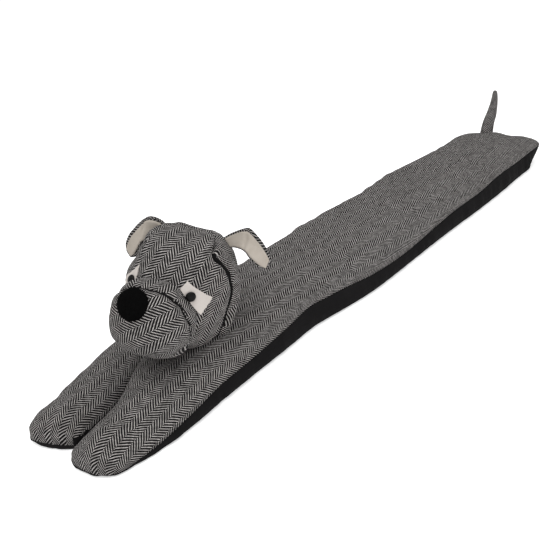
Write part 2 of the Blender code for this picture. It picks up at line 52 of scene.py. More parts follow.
# Body, one row for each place along it: the two edges, the line between the paws,
# the seam's height at each edge, and the height of the crown
BodyRow = namedtuple("BodyRow", "x near mid far seam_near seam_far crown")
BODY_ROWS = tuple(BodyRow(*row) for row in (
    (-0.461, -0.086, -0.011, 0.069, 0.003, 0.008, 0.043),
    (-0.433, -0.090, -0.010, 0.067, 0.004, 0.009, 0.046),
    (-0.390, -0.096, -0.008, 0.076, 0.009, 0.012, 0.050),
    (-0.347, -0.097, -0.004, 0.082, 0.016, 0.018, 0.054),
    (-0.300, -0.093, 0.000, 0.087, 0.021, 0.023, 0.056),
    (-0.240, -0.090, 0.001, 0.090, 0.023, 0.027, 0.056),
    (-0.180, -0.088, 0.001, 0.091, 0.028, 0.029, 0.055),
    (-0.140, -0.086, 0.001, 0.091, 0.032, 0.030, 0.054),
    (-0.115, -0.089, 0.000, 0.087, 0.031, 0.030, 0.054),
    (-0.075, -0.096, -0.003, 0.084, 0.030, 0.028, 0.055),
    (-0.030, -0.100, -0.005, 0.086, 0.025, 0.026, 0.056),
    (0.040, -0.099, -0.004, 0.090, 0.021, 0.028, 0.056),
    (0.110, -0.097, -0.005, 0.083, 0.024, 0.030, 0.055),
    (0.170, -0.097, -0.006, 0.079, 0.028, 0.030, 0.055),
    (0.240, -0.098, -0.006, 0.080, 0.029, 0.032, 0.056),
    (0.300, -0.097, -0.007, 0.074, 0.033, 0.031, 0.055),
    (0.370, -0.093, -0.008, 0.068, 0.030, 0.030, 0.054),
    (0.458, -0.092, -0.007, 0.067, 0.032, 0.031, 0.053),
))
PAW_ROUNDING = 0.034
PAW_SQUARENESS = 2.8
FAR_PAW_SLANT = 0.014
NEAR_PAW_SLANT = 0.004
TAIL_END_ROUNDING = 0.024
TAIL_END_SQUARENESS = 4.0
EDGE_FALL = 0.046
PAW_FALL = 0.033
NEAR_PAW_FRONT_FALL = 0.046
TAIL_END_FALL = 0.034
FALL_SQUARENESS = 2.2
NEAR_FLANK_FALL = 0.048
NEAR_FLANK_SQUARENESS = 1.4
SLIT_END = -0.392
VALLEY_END = -0.295
SLIT_FLOOR = 0.004
ROW_STEPS = 250
PAW_STEPS = 30
ROW_CROWDING = 0.35
SLIT_SOLE_AND_SHADE = 0.0080              # height of black faces on the far paw's side of the slit: partly the black sole that shows there, partly painted shade of the slit
SLIT_SOLE_AND_SHADE_END = -0.382
SLIT_SOLE_AND_SHADE_SIDES = (-0.0015, 0.0055)
PAW_TUCK = 0.0035               # how far the base goes in under the sides of the paws
CORNER_TUCK = 0.017             # and under the near corner at the tail
BASE_PROFILE = (
    (1.0, 0.0), (0.90, 0.0013), (0.75, 0.0022), (0.55, 0.0027), (0.35, 0.0023),
    (0.18, 0.0008), (0.07, -0.0014), (0.0, -0.0060),
)
RIM_SWELL = 0.0022              # how far the cloth swells outward just above the seam
UNDER_HEAD = (-0.285, -0.020, 0.075)
TAIL_BUMPS = ((0.442, -0.018, 0.0020), (0.442, -0.040, -0.0030))
BUMP_REACH = 0.012

# Waves in the filled cloth
Wave = namedtuple("Wave", "height scale seed stretch", defaults=(1.0,))
BODY_WAVES = (
    Wave(0.0016, 11.0, 3.0, (1.0, 1.0, 0.0)), Wave(0.0014, 33.0, 9.0, (0.35, 1.0, 0.0)),
    Wave(0.0018, 62.0, 5.0, (1.0, 0.25, 0.0)),
)
BASE_WAVES = (Wave(0.0012, 70.0, 2.0), Wave(0.00072, 190.0, 12.0))
FACE_PUCKER = Wave(0.0010, 7.0, 4.0)
BACK_PUCKER = Wave(0.0010, 7.0, 6.0)
HEAD_WAVES = (Wave(0.0008, 34.0, 8.0), Wave(0.0003, 90.0, 14.0))
MUZZLE_PUCKER = Wave(0.0009, 120.0, 1.0, (1.0, 0.3, 1.0))
MUZZLE_WAVES = (Wave(0.0011, 45.0, 2.0), Wave(0.0003, 110.0, 5.0))

# Filling, pressed out by a cloth simulation
SWELL_FRAMES = 20
PAD_CLOTH = {
    "quality": 5, "mass": 0.15, "tension_stiffness": 25.0, "compression_stiffness": 25.0,
    "shear_stiffness": 12.0, "bending_stiffness": 0.6, "use_pressure": True, "uniform_pressure_force": 4.0,
    "vertex_group_mass": "held",
}
SWELL_REACH = 0.012
HEAD_SWELL_KEPT = 0.2
HEAD_SWELL_REACH = 0.0016

# Head
HEAD_CENTRE = (-0.271, -0.020, 0.117)
HEAD_TILT = math.radians(20.0)
HEAD_PITCH = math.radians(17.0)
HEAD_YAW = math.radians(32.0)
HEAD_HALF_WIDTH = 0.0585
HEAD_NEAR_SHIFT = 0.0065
HEAD_HALF_HEIGHT = 0.071
HEAD_SQUARENESS = 2.7
FAR_TEMPLE = (0.05, 0.004, 0.014)       # share, height and reach
FAR_HOLLOW = (0.08, 0.034, 0.018)
HEAD_SEAM_FORWARD = -0.003
FACE_DEPTH = 0.067
BACK_DEPTH = 0.052
BACK_WIDTH_SHARE = 1.03
BACK_HEIGHT_SHARE = 0.95
DOME_SQUARENESS = 2.2
HEAD_SIDES = 128
HEAD_RINGS = 52
HEAD_GROOVE = 0.0065            # how deep the seam around the head is drawn in
CROWN_DIP = 0.0030              # how far the middle of the head's top is drawn down
GROOVE_SHADE_RINGS = 4                # painted shade: the rings next to the seam that get the black cloth down in the groove
GROOVE_WIDTH = 0.0030
SEAM_SWELL = 0.0006             # how far both halves swell beside that seam
FACE_DIP = 0.0012               # how far the face sinks toward it on the near side
BACK_BULGE = 0.0055             # how far the back swells beside it there
GROOVE_SHADE_HIDDEN_ABOVE = 42.0      # degrees from the top of the head within which no painted groove shade shows
SEAM_LENGTH = 0.065             # along the cloth for each radian from the seam

# Where the seam between the face and the back runs: its place round the head, from the left side up,
# and how far it swings forward, in radians
SEAM_ROWS = (
    (-180.0, 0.02), (-90.0, 0.0), (-60.0, 0.0), (-30.0, 0.04), (0.0, 0.05), (5.0, 0.06), (10.0, 0.10),
    (18.0, 0.17), (28.0, 0.28), (38.0, 0.40), (46.0, 0.48), (53.0, 0.44), (61.0, 0.20), (69.0, 0.04),
    (90.0, 0.02), (180.0, 0.02),
)

# Muzzle
MUZZLE_CENTRE = (0.002, 0.058, -0.0225)
MUZZLE_HALF_WIDTH = 0.0458
MUZZLE_TAPER = 0.06
MUZZLE_HALF_HEIGHT = 0.0425
MUZZLE_DEPTH = 0.042
MUZZLE_TAIL = 0.030
MUZZLE_SQUARENESS = 2.4
PANEL_EDGE_FORWARD = 0.0755
PANEL_EDGE_SLOPE = 0.45
MUZZLE_GROOVE = 0.0042
PATCH_CLEARANCE = 0.0008
PATCH_WINDOW = 0.006            # how far past the patch the muzzle still gives way
MUZZLE_GROOVE_WIDTH = 0.0032
MUZZLE_SEAM_SHADE = 0.0016      # how far from the panel seam the faces get the black cloth as painted shade of the seam's crease
MUZZLE_SWELL = 0.0010           # how far the front swells beside that seam
GROOVE_TAKES_UP = 0.7           # share of a groove's depth that its cloth takes up
BEAD_CLEARANCE = 0.0012
MUZZLE_SIDES = 128
MUZZLE_STEPS = 84

# Nose, eyes
NOSE_PLACE = (-0.0092, 0.0950, -0.0030)
NOSE_FACING = (-0.13, 1.0, 0.36)
NOSE_RADIUS = 0.0170
NOSE_THICKNESS = 0.0110
NOSE_FIBRES = 3200
FIBRE_RADIUS = 0.00013
FIBRE_LENGTH = 0.0017
PatchCorners = namedtuple("PatchCorners", "inner_top inner_low outer_low outer_top")
NEAR_PATCH = PatchCorners((0.0305, 0.0245), (0.0255, 0.0152), (0.0482, -0.0103), (0.0540, 0.0090))
FAR_PATCH = PatchCorners((-0.0263, 0.0262), (-0.0250, 0.0110), (-0.0400, -0.0100), (-0.0425, 0.0075))
PATCH_THICKNESS = 0.0015
PATCH_FRAY = 0.0007
PATCH_GRID = (41, 29)
NEAR_EYE = (0.0370, 0.0092)
FAR_EYE = (-0.0318, 0.0088)
EYE_RADIUS = 0.0057
EYE_HEIGHT = 0.0035
BEAD_GRID = (40, 14)

# Ears: upper and lower edge as left, forward, up, from the root to the tip
EarRow = namedtuple("EarRow", "upper lower")
NEAR_EAR_ROWS = (
    EarRow((0.034, -0.012, 0.058), (0.042, -0.012, 0.050)),
    EarRow((0.048, -0.010, 0.071), (0.053, -0.010, 0.056)),
    EarRow((0.067, -0.006, 0.082), (0.068, -0.002, 0.057)),
    EarRow((0.080, -0.010, 0.074), (0.078, -0.004, 0.049)),
    EarRow((0.091, -0.012, 0.063), (0.088, -0.008, 0.043)),
    EarRow((0.099, -0.012, 0.051), (0.097, -0.011, 0.042)),
)
FAR_EAR_ROWS = (
    EarRow((-0.026, -0.012, 0.058), (-0.040, -0.012, 0.038)),
    EarRow((-0.036, -0.010, 0.066), (-0.047, -0.008, 0.036)),
    EarRow((-0.050, -0.006, 0.067), (-0.053, 0.000, 0.033)),
    EarRow((-0.062, -0.010, 0.056), (-0.055, -0.003, 0.026)),
    EarRow((-0.0715, -0.012, 0.042), (-0.057, -0.006, 0.020)),
    EarRow((-0.0755, -0.013, 0.029), (-0.060, -0.009, 0.016)),
    EarRow((-0.0735, -0.013, 0.019), (-0.066, -0.011, 0.0135)),
)
EAR_SHEET = 0.0018
EAR_GAP = 0.0005
EAR_CUP = 0.0025
EAR_ALONG = 36
EAR_ACROSS = 18
EAR_CUP_END = 0.91
EAR_STEP = 0.01                 # share of the ear over which its slope is taken
EAR_RIPPLE = 0.0009
# Shares of the ear's width at which the outer cloth shows: above at the root and the lobe, and below
LiningMargins = namedtuple("LiningMargins", "root lobe low")
NEAR_MARGINS = LiningMargins(0.13, 0.20, 0.04)
FAR_MARGINS = LiningMargins(0.13, 0.19, 0.12)
LINING_TIP_MARGIN = 0.06
CREASE_ALONG = 0.40             # where the ear folds over
FOLD_DEPTH = 0.0024
FOLD_WIDTH = 0.018
DENT_DEPTH = 0.0007
DENT_WIDTH = 0.04

# Tail
TAIL_POINTS = (
    (0.4350, 0.0030, 0.0380, 0.0110),
    (0.4430, 0.0020, 0.0600, 0.0102),
    (0.4550, 0.0000, 0.0780, 0.0086),
    (0.4650, -0.0010, 0.0950, 0.0064),
    (0.4700, -0.0010, 0.1080, 0.0046),
    (0.4715, -0.0010, 0.1150, 0.0028),
)
TAIL_SIDES = 40
TAIL_STEPS = 70
TAIL_CLOTH_RADIUS = 0.0095

# Cloth
THREAD = 0.00090
THREADS_PER_COLUMN = 10
WEAVE_DRIFT = 0.0013            # how far the threads wander
HEAD_WEAVE = 0.86               # the weave looks larger on the head by one over this
FRONT_TAKE_UP = 0.75            # shares of the extra cloth that the falls take up
TAIL_END_TAKE_UP = 0.7
NEAR_FLANK_TAKE_UP = 0.5
BODY_SKEW = 0.16                # how far the cross threads lean on the body
LIGHT_YARN = (0.78, 0.741, 0.719)
DARK_YARN = (0.0045, 0.0040, 0.0043)

# Stage
FLOOR_DROP = 0.0003
FLOOR_GLOW = 0.45
WORLD_LIGHT = 0.72
LAMPS = (("key_light", (-0.6, -0.5, 1.9), 2.0, 26.0), ("fill_light", (0.7, -1.5, 1.5), 1.5, 6.0))
CAMERA_PLACE = (-0.68335, -0.66858, 0.466)
CAMERA_YAW = math.radians(40.5)
CAMERA_PITCH = math.radians(26.0)
CAMERA_ROLL = math.radians(-13.0)
CAMERA_LENS = 47.64


# Materials

class Value:
    """A shader value that takes plain arithmetic."""

    def __init__(self, graph, socket):
        self.graph = graph
        self.socket = socket

    def __add__(self, other):
        return self.graph.math("ADD", self, other)

    def __sub__(self, other):
        return self.graph.math("SUBTRACT", self, other)

    def __rsub__(self, other):
        return self.graph.math("SUBTRACT", other, self)

    def __mul__(self, other):
        return self.graph.math("MULTIPLY", self, other)

    def __truediv__(self, other):
        return self.graph.math("DIVIDE", self, other)


class Graph:
    """Short calls that add shader nodes to one material."""

    def __init__(self, name):
        self.material = bpy.data.materials.new(name)
        self.material.use_nodes = True
        self.tree = self.material.node_tree
        self.shader = self.tree.nodes["Principled BSDF"]

    def put(self, value, socket):
        if isinstance(value, Value):
            self.tree.links.new(value.socket, socket)
        elif isinstance(value, tuple) and len(value) < len(socket.default_value):
            socket.default_value = value + (1.0,)
        else:
            socket.default_value = value

    def add(self, kind, inputs, output=0, **settings):
        """A new node's output; its inputs are given by name or number."""
        node = self.tree.nodes.new("ShaderNode" + kind)
        for key, value in settings.items():
            setattr(node, key, value)
        for key, value in inputs.items():
            self.put(value, node.inputs[key])
        return Value(self, node.outputs[output])

    def math(self, operation, *values):
        return self.add("Math", dict(enumerate(values)), operation=operation)

    def mix(self, factor, a, b):
        return self.add("Mix", {0: factor, 6: a, 7: b}, 2, data_type="RGBA")

    def blend(self, factor, a, b):
        return self.add("Mix", {0: factor, 2: a, 3: b}, data_type="FLOAT")

    def place(self):
        return self.add("TexCoord", {}, "Object")

    def axis(self, vector, number):
        return self.add("SeparateXYZ", {0: vector}, number)

    def noise(self, where, scale, detail=2.0, output=0):
        return self.add("TexNoise", {"Vector": where, "Scale": scale, "Detail": detail}, output)

    def bump(self, height, distance, strength):
        bump = self.add("Bump", {"Height": height, "Distance": distance, "Strength": strength})
        self.put(bump, self.shader.inputs["Normal"])

    def set(self, **values):
        for name, value in values.items():
            self.put(value, self.shader.inputs[name.replace("_", " ")])


def shade(colour, share):
    return tuple(share * c for c in colour)


def herringbone_material():
    """Two-over-two twill of a light and a dark yarn, whose slant turns round every ten threads."""
    g = Graph("herringbone_cloth")
    place = g.place()
    drift = g.add("VectorMath", {0: g.noise(place, 55.0, output=1), 1: (0.5, 0.5, 0.5)}, operation="SUBTRACT")
    drift = g.add("VectorMath", {0: drift, "Scale": WEAVE_DRIFT}, operation="SCALE")
    flat = g.add("UVMap", {}, uv_map="weave")
    flat = g.add("VectorMath", {0: flat, 1: drift}, operation="ADD")
    a = g.axis(flat, 0) / THREAD
    b = g.axis(flat, 1) / THREAD
    column = g.math("FLOOR", a / THREADS_PER_COLUMN)
    within = a - column * THREADS_PER_COLUMN
    slant = g.math("FLOORED_MODULO", column, 2.0)
    a = g.blend(slant, within, THREADS_PER_COLUMN - within) + slant * 2.0
    along_warp = g.math("FLOORED_MODULO", g.math("FLOOR", a) + b, 4.0)
    along_weft = g.math("FLOORED_MODULO", a + g.math("FLOOR", b), 4.0)
    warp_up = g.math("LESS_THAN", along_warp, 2.0)

    def rounded(across, along):
        return 1.0 - g.math("MAXIMUM", across * across, along * along)

    def narrowed(across, along):
        side = across * across
        length = g.math("MAXIMUM", 1.0 - along * along, 0.0)
        return (1.0 - side * side) * g.math("POWER", length, 3.0)

    warp = (g.math("FRACT", a) - 0.5) / 0.5, along_warp - 1.0
    weft = (g.math("FRACT", b) - 0.5) / 0.5, along_weft - 3.0
    height = g.math("MAXIMUM", g.blend(warp_up, rounded(*weft), rounded(*warp)), 0.0)
    slub = g.noise(place, 330.0)
    cloud = g.noise(place, 170.0, 3.0) * 2.6 - 0.95
    light = g.mix(slub, shade(LIGHT_YARN, 0.62), shade(LIGHT_YARN, 1.28))
    light = g.mix(cloud, light, shade(LIGHT_YARN, 0.40))
    dark = g.mix(slub, shade(DARK_YARN, 0.5), shade(DARK_YARN, 2.2))
    colour = g.mix(warp_up, dark, light)
    colour = g.mix(g.blend(warp_up, narrowed(*weft), narrowed(*warp)), DARK_YARN, colour)
    g.set(Base_Color=colour, Roughness=0.95, Specular_IOR_Level=0.08)
    g.bump(height + g.noise(place, 2600.0, 3.0) * 0.5, 0.0004, 0.6)
    return g.material


def woven_black_material():
    g = Graph("black_cotton_cloth")
    place = g.place()
    across = g.math("SINE", (g.axis(place, 0) + g.axis(place, 1)) * 9000.0)
    upward = g.math("SINE", g.axis(place, 2) * 9000.0)
    fluff = g.noise(place, 900.0, 4.0)
    colour = g.mix(g.noise(place, 40.0, 3.0), (0.0042, 0.0040, 0.0042), (0.0090, 0.0084, 0.0088))
    g.set(Base_Color=g.mix(fluff * 0.2, colour, (0.018, 0.017, 0.0175)))
    g.set(Roughness=0.9, Specular_IOR_Level=0.06)
    g.bump(across * upward * 0.5 + fluff, 0.0003, 0.5)
    return g.material


def felt_material(name, dull, bright):
    g = Graph(name)
    fibre = g.noise(g.place(), 1700.0, 5.0)
    cloud = g.noise(g.place(), 120.0, 3.0)
    colour = g.mix(cloud, dull, bright)
    colour = g.mix(fibre, g.mix(0.35, colour, (0.30, 0.25, 0.20)), colour)
    g.set(Base_Color=colour, Roughness=0.97, Specular_IOR_Level=0.06)
    g.bump(fibre + cloud, 0.0005, 0.5)
    return g.material


def fleece_material():
    g = Graph("black_fleece_cloth")
    pile = g.noise(g.place(), 1300.0, 6.0)
    colour = g.mix(pile, (0.0010, 0.0010, 0.0010), (0.0045, 0.0043, 0.0043))
    g.set(Base_Color=colour, Roughness=1.0, Specular_IOR_Level=0.02)
    g.bump(pile + g.noise(g.place(), 260.0, 3.0), 0.0012, 0.8)
    return g.material


def bead_material():
    g = Graph("black_bead_plastic")
    speck = g.noise(g.place(), 700.0, 3.0)
    g.set(Base_Color=g.mix(speck, (0.004, 0.004, 0.004), (0.009, 0.009, 0.009)))
    g.set(Roughness=speck * 0.12 + 0.22, Specular_IOR_Level=0.07)
    g.bump(speck, 0.00004, 0.3)
    return g.material


def floor_material():
    g = Graph("pale_floor")
    g.set(Base_Color=g.mix(g.noise(g.place(), 1.5), (0.86, 0.86, 0.86), (0.88, 0.88, 0.88)), Roughness=0.9)
    g.set(Specular_IOR_Level=0.0, Emission_Color=(1.0, 1.0, 1.0), Emission_Strength=FLOOR_GLOW)
    return g.material


HERRINGBONE = herringbone_material()
BLACK = woven_black_material()
FELT = felt_material("cream_felt_lining", (0.345, 0.312, 0.272), (0.445, 0.408, 0.365))
PATCH_FELT = felt_material("cream_felt_patch", (0.51, 0.475, 0.45), (0.60, 0.565, 0.537))
FLEECE = fleece_material()
BEAD = bead_material()


# Mesh helpers

def add_object(name, data):
    obj = bpy.data.objects.new(name, data)
    bpy.context.scene.collection.objects.link(obj)
    return obj


def plain_mesh(name, points, faces):
    mesh = bpy.data.meshes.new(name)
    mesh.from_pydata([tuple(p) for p in points], [], [tuple(int(i) for i in f) for f in faces])
    return mesh


def add_piece(name, points, faces, materials, flat=None, face_materials=None):
    """A smooth piece from points, faces and each point's place on the flat cloth."""
    mesh = plain_mesh(name, points, faces)
    mesh.validate()
    if flat is not None:
        layer = mesh.uv_layers.new(name="weave")
        corner_verts = np.empty(len(mesh.loops), np.int32)
        mesh.loops.foreach_get("vertex_index", corner_verts)
        layer.data.foreach_set("uv", np.asarray(flat, np.float32)[corner_verts].ravel())
    for material in materials:
        mesh.materials.append(material)
    if face_materials is not None:
        mesh.polygons.foreach_set("material_index", np.asarray(face_materials, np.int32))
    mesh.shade_smooth()
    bm = bmesh.new()
    bm.from_mesh(mesh)
    bmesh.ops.recalc_face_normals(bm, faces=bm.faces)
    bm.to_mesh(mesh)
    bm.free()
    return add_object(name, mesh)


def grid_quads(rows, columns, wrap=False, first=0):
    quads = []
    for i in range(rows - 1):
        for j in range(columns if wrap else columns - 1):
            after = (j + 1) % columns
            quads.append((
                first + i * columns + j, first + i * columns + after,
                first + (i + 1) * columns + after, first + (i + 1) * columns + j,
            ))
    return quads


def band_quads(low, high):
    """Faces between two closed loops of points."""
    return [(a, b, d, c) for a, b, c, d in zip(low, low[1:] + low[:1], high, high[1:] + high[:1])]


def rim_indices(rows, columns):
    rim = list(range(columns))
    rim += [i * columns + columns - 1 for i in range(1, rows)]
    rim += [(rows - 1) * columns + j for j in range(columns - 2, -1, -1)]
    rim += [i * columns for i in range(rows - 2, 0, -1)]
    return rim


def sheet_faces(rows, columns):
    """A closed sheet of two grids, one after the other, and the edge between them."""
    count = rows * columns
    rim = rim_indices(rows, columns)
    faces = [tuple(reversed(quad)) for quad in grid_quads(rows, columns)]
    return faces + grid_quads(rows, columns, first=count) + band_quads(rim, [i + count for i in rim])


def lengths(vectors):
    return np.linalg.norm(vectors, axis=-1)


def sheet_size(grid):
    """Width and length, and area, of a grid of places on a sheet."""
    along = np.diff(grid, axis=0)
    across = np.diff(grid, axis=1)
    area = lengths(np.cross(along[:, :-1], across[:-1])).sum()
    return (float(lengths(across).sum(axis=1).max()), float(lengths(along).sum(axis=0).max())), float(area)


def tree_of(obj):
    mesh = obj.data
    places = [v.co.copy() for v in mesh.vertices]
    return BVHTree.FromPolygons(places, [tuple(p.vertices) for p in mesh.polygons])


def seat(points, direction, tree, gap=GAP, reach=0.12):
    """Points behind a surface come out to just in front of it, along a direction."""
    direction = Vector(direction).normalized()
    seated = []
    for point in points:
        point = Vector(point)
        hit = tree.ray_cast(point + direction * reach, -direction, 2 * reach)[0]
        if hit is not None and (point - hit).dot(direction) < gap:
            point = hit + direction * gap
        seated.append(point)
    return np.array([tuple(p) for p in seated])


def wave(points, kind):
    """Smooth noise of one kind of wave, for a row of places."""
    shift = Vector((kind.seed, 1.7 * kind.seed, 0.3 * kind.seed))
    values = [noise.noise(Vector(p) * kind.scale + shift) for p in points * kind.stretch]
    return 1.8 * kind.height * np.array(values)


def bell(values, middle, width):
    return np.exp(-((values - middle) / width) ** 2)


def ramp(values, start, reach):
    """0 up to a place, and 1 from a reach past it."""
    return np.clip((values - start) / reach, 0.0, 1.0)


def unit_rows(vectors):
    return vectors / np.maximum(lengths(vectors), 1e-6)[:, None]


def curve_through(values, places, at):
    """A smooth curve through values at rising places, read at one place."""
    last = len(places) - 1
    at = min(max(at, places[0]), places[last])
    i = max(k for k in range(last) if places[k] <= at)

    def slope(k):
        low = max(k - 1, 0)
        high = min(k + 1, last)
        return (values[high] - values[low]) / (places[high] - places[low])

    span = places[i + 1] - places[i]
    t = (at - places[i]) / span
    start = values[i] * (1 + 2 * t) * (1 - t) ** 2 + slope(i) * span * t * (1 - t) ** 2
    end = values[i + 1] * t * t * (3 - 2 * t) - slope(i + 1) * span * t * t * (1 - t)
    return start + end


def swell_cloth(points, faces, held, shrink):
    """How a pad's cloth moves as its filling presses it out, its sewn edge held."""
    scene = bpy.context.scene
    mesh = plain_mesh("pad", points, faces)
    pad = add_object("pad", mesh)
    pad.vertex_groups.new(name="held").add([int(i) for i in held], 1.0, "REPLACE")
    cloth = pad.modifiers.new("cloth", "CLOTH")
    for name, value in PAD_CLOTH.items():
        setattr(cloth.settings, name, value)
    cloth.settings.shrink_min = shrink
    cloth.settings.effector_weights.gravity = 0.0
    cloth.collision_settings.use_collision = False
    cloth.point_cache.frame_start = 1
    cloth.point_cache.frame_end = SWELL_FRAMES
    for frame_number in range(1, SWELL_FRAMES + 1):
        scene.frame_set(frame_number)
    shown = pad.evaluated_get(bpy.context.evaluated_depsgraph_get())
    places = np.empty(3 * len(points))
    shown.data.vertices.foreach_get("co", places)
    moved = places.reshape(-1, 3) - np.asarray(points)
    bpy.data.objects.remove(pad, do_unlink=True)
    bpy.data.meshes.remove(mesh)
    scene.frame_set(1)
    return moved * np.minimum(1.0, SWELL_REACH / np.maximum(lengths(moved), 1e-9))[:, None]


# Body

TABLE_X = np.linspace(BODY_ROWS[0].x, BODY_ROWS[-1].x, 900)
TABLE = {
    name: np.array([
        curve_through([getattr(row, name) for row in BODY_ROWS], [row.x for row in BODY_ROWS], x)
        for x in TABLE_X
    ])
    for name in BodyRow._fields[1:]
}


def along_body(name, x):
    return np.interp(x, TABLE_X, TABLE[name])


def body_lines(x):
    """The near edge, the far edge and the line between the paws, at places along the body."""
    return along_body("near", x), along_body("far", x), along_body("mid", x)


def fall(share, squareness=FALL_SQUARENESS):
    left = 1.0 - np.clip(share, 0.0, 1.0)
    return (1.0 - left ** squareness) ** (1.0 / squareness)


def extra_cloth(share, reach=EDGE_FALL, drop=0.030):
    """How much longer the cloth is than its plan, from the end of a fall up to a place on it."""
    steps = np.linspace(0.0, 1.0, 400)
    run = np.hypot(np.diff(steps) * reach, np.diff(drop * fall(steps)))
    up_to = np.concatenate([[0.0], np.cumsum(run)])
    extra = (up_to[-1] - up_to) - (1.0 - steps) * reach
    return np.interp(np.clip(share, 0.0, 1.0), steps, extra)


def slit_share(x):
    """How far the two paws are apart, 1 in front of the slit's end and 0 behind the hollow."""
    slit = 1.0 - np.clip((x - SLIT_END) / (VALLEY_END - SLIT_END), 0.0, 1.0)
    return (slit * slit * (3.0 - 2.0 * slit)) ** 1.5


def rounded_end(across, squareness):
    return 1.0 - (1.0 - np.clip(np.abs(across), 0.0, 1.0) ** squareness) ** (1.0 / squareness)


def body_plan():
    """Plan of the body's grid, with each point's distances to the front and the back edge."""
    share = np.linspace(0.0, 1.0, ROW_STEPS + 1)
    along = (share - ROW_CROWDING * np.sin(2 * math.pi * share) / (2 * math.pi))[:, None]
    column = np.arange(2 * PAW_STEPS + 1)
    far_paw = column > PAW_STEPS
    step = np.where(far_paw, column - PAW_STEPS, column)
    in_paw = -np.cos(math.pi * step / PAW_STEPS)
    slant = np.where(far_paw, FAR_PAW_SLANT, NEAR_PAW_SLANT)
    front = BODY_ROWS[0].x + PAW_ROUNDING * rounded_end(in_paw, PAW_SQUARENESS)
    front = front - slant * in_paw * (1.0 - in_paw ** 4)
    across = np.where(far_paw, (in_paw + 1.0) / 2.0, (in_paw - 1.0) / 2.0)
    back = BODY_ROWS[-1].x - TAIL_END_ROUNDING * rounded_end(across, TAIL_END_SQUARENESS)
    x = front + (back - front) * along
    mid = along_body("mid", x)
    y = mid + np.where(
        far_paw, (along_body("far", x) - mid) * across, (mid - along_body("near", x)) * across
    )
    return x, y, x - front, back - x


def seam_height(x, y):
    near, far = along_body("near", x), along_body("far", x)
    share = np.clip((y - near) / (far - near), 0.0, 1.0)
    return along_body("seam_near", x) * (1 - share) + along_body("seam_far", x) * share


def front_reach(y, mid):
    """How far back from its tip each paw comes up to its full height."""
    return np.where(y < mid, NEAR_PAW_FRONT_FALL, PAW_FALL)


def body_height(x, y, from_front, from_back):
    near, far, mid = body_lines(x)
    seam = seam_height(x, y)
    crown = along_body("crown", x)
    rise = fall(np.minimum(y - near, far - y) / EDGE_FALL)
    rise = rise * fall(from_front / front_reach(y, mid)) * fall(from_back / TAIL_END_FALL)
    slit = slit_share(x)
    floor = SLIT_FLOOR / (crown - seam)
    near_paw = np.where(y < mid, slit, 0.0)
    reach = PAW_FALL + near_paw * (NEAR_FLANK_FALL - PAW_FALL)
    squareness = FALL_SQUARENESS + near_paw * (NEAR_FLANK_SQUARENESS - FALL_SQUARENESS)
    valley = 1.0 - slit * (1.0 - floor) * (1.0 - fall(np.abs(y - mid) / reach, squareness))
    return seam + (crown - seam) * rise * valley


def body_cloth(x, y, from_front, from_back):
    """Each grid point's place on the flat cloth: its plan, and the cloth that the falls take up."""
    near, far, mid = body_lines(x)
    u = y - extra_cloth((y - near) / EDGE_FALL) + extra_cloth((far - y) / EDGE_FALL)
    far_flank = extra_cloth((y - mid) / PAW_FALL, PAW_FALL)
    near_flank = NEAR_FLANK_TAKE_UP * extra_cloth((mid - y) / NEAR_FLANK_FALL, NEAR_FLANK_FALL)
    u = u + slit_share(x) * np.where(y > mid, -far_flank, near_flank)
    v = x - FRONT_TAKE_UP * extra_cloth(from_front / front_reach(y, mid), PAW_FALL)
    v = v + TAIL_END_TAKE_UP * extra_cloth(from_back / TAIL_END_FALL, TAIL_END_FALL)
    return np.stack([u, v + BODY_SKEW * u], axis=2).reshape(-1, 2)


def between(values, count):
    """A grid's rows, each read at its own places and halfway between them."""
    return np.array([np.interp(np.arange(count), np.arange(0, count, 2), row) for row in values])


def swell_body(surface):
    """Rise of the top panel where its filling presses it out, worked out on every second grid line."""
    rows, columns = surface.shape[:2]
    coarse = surface[::2, ::2]
    few = coarse.shape[:2]
    faces = [tuple(reversed(quad)) for quad in grid_quads(*few)]
    rise = swell_cloth(coarse.reshape(-1, 3), faces, rim_indices(*few), -0.025)[:, 2].reshape(few)
    rise = rise - rise[5:-5, 3:-3].mean()
    return between(between(rise, columns).T, rows).T


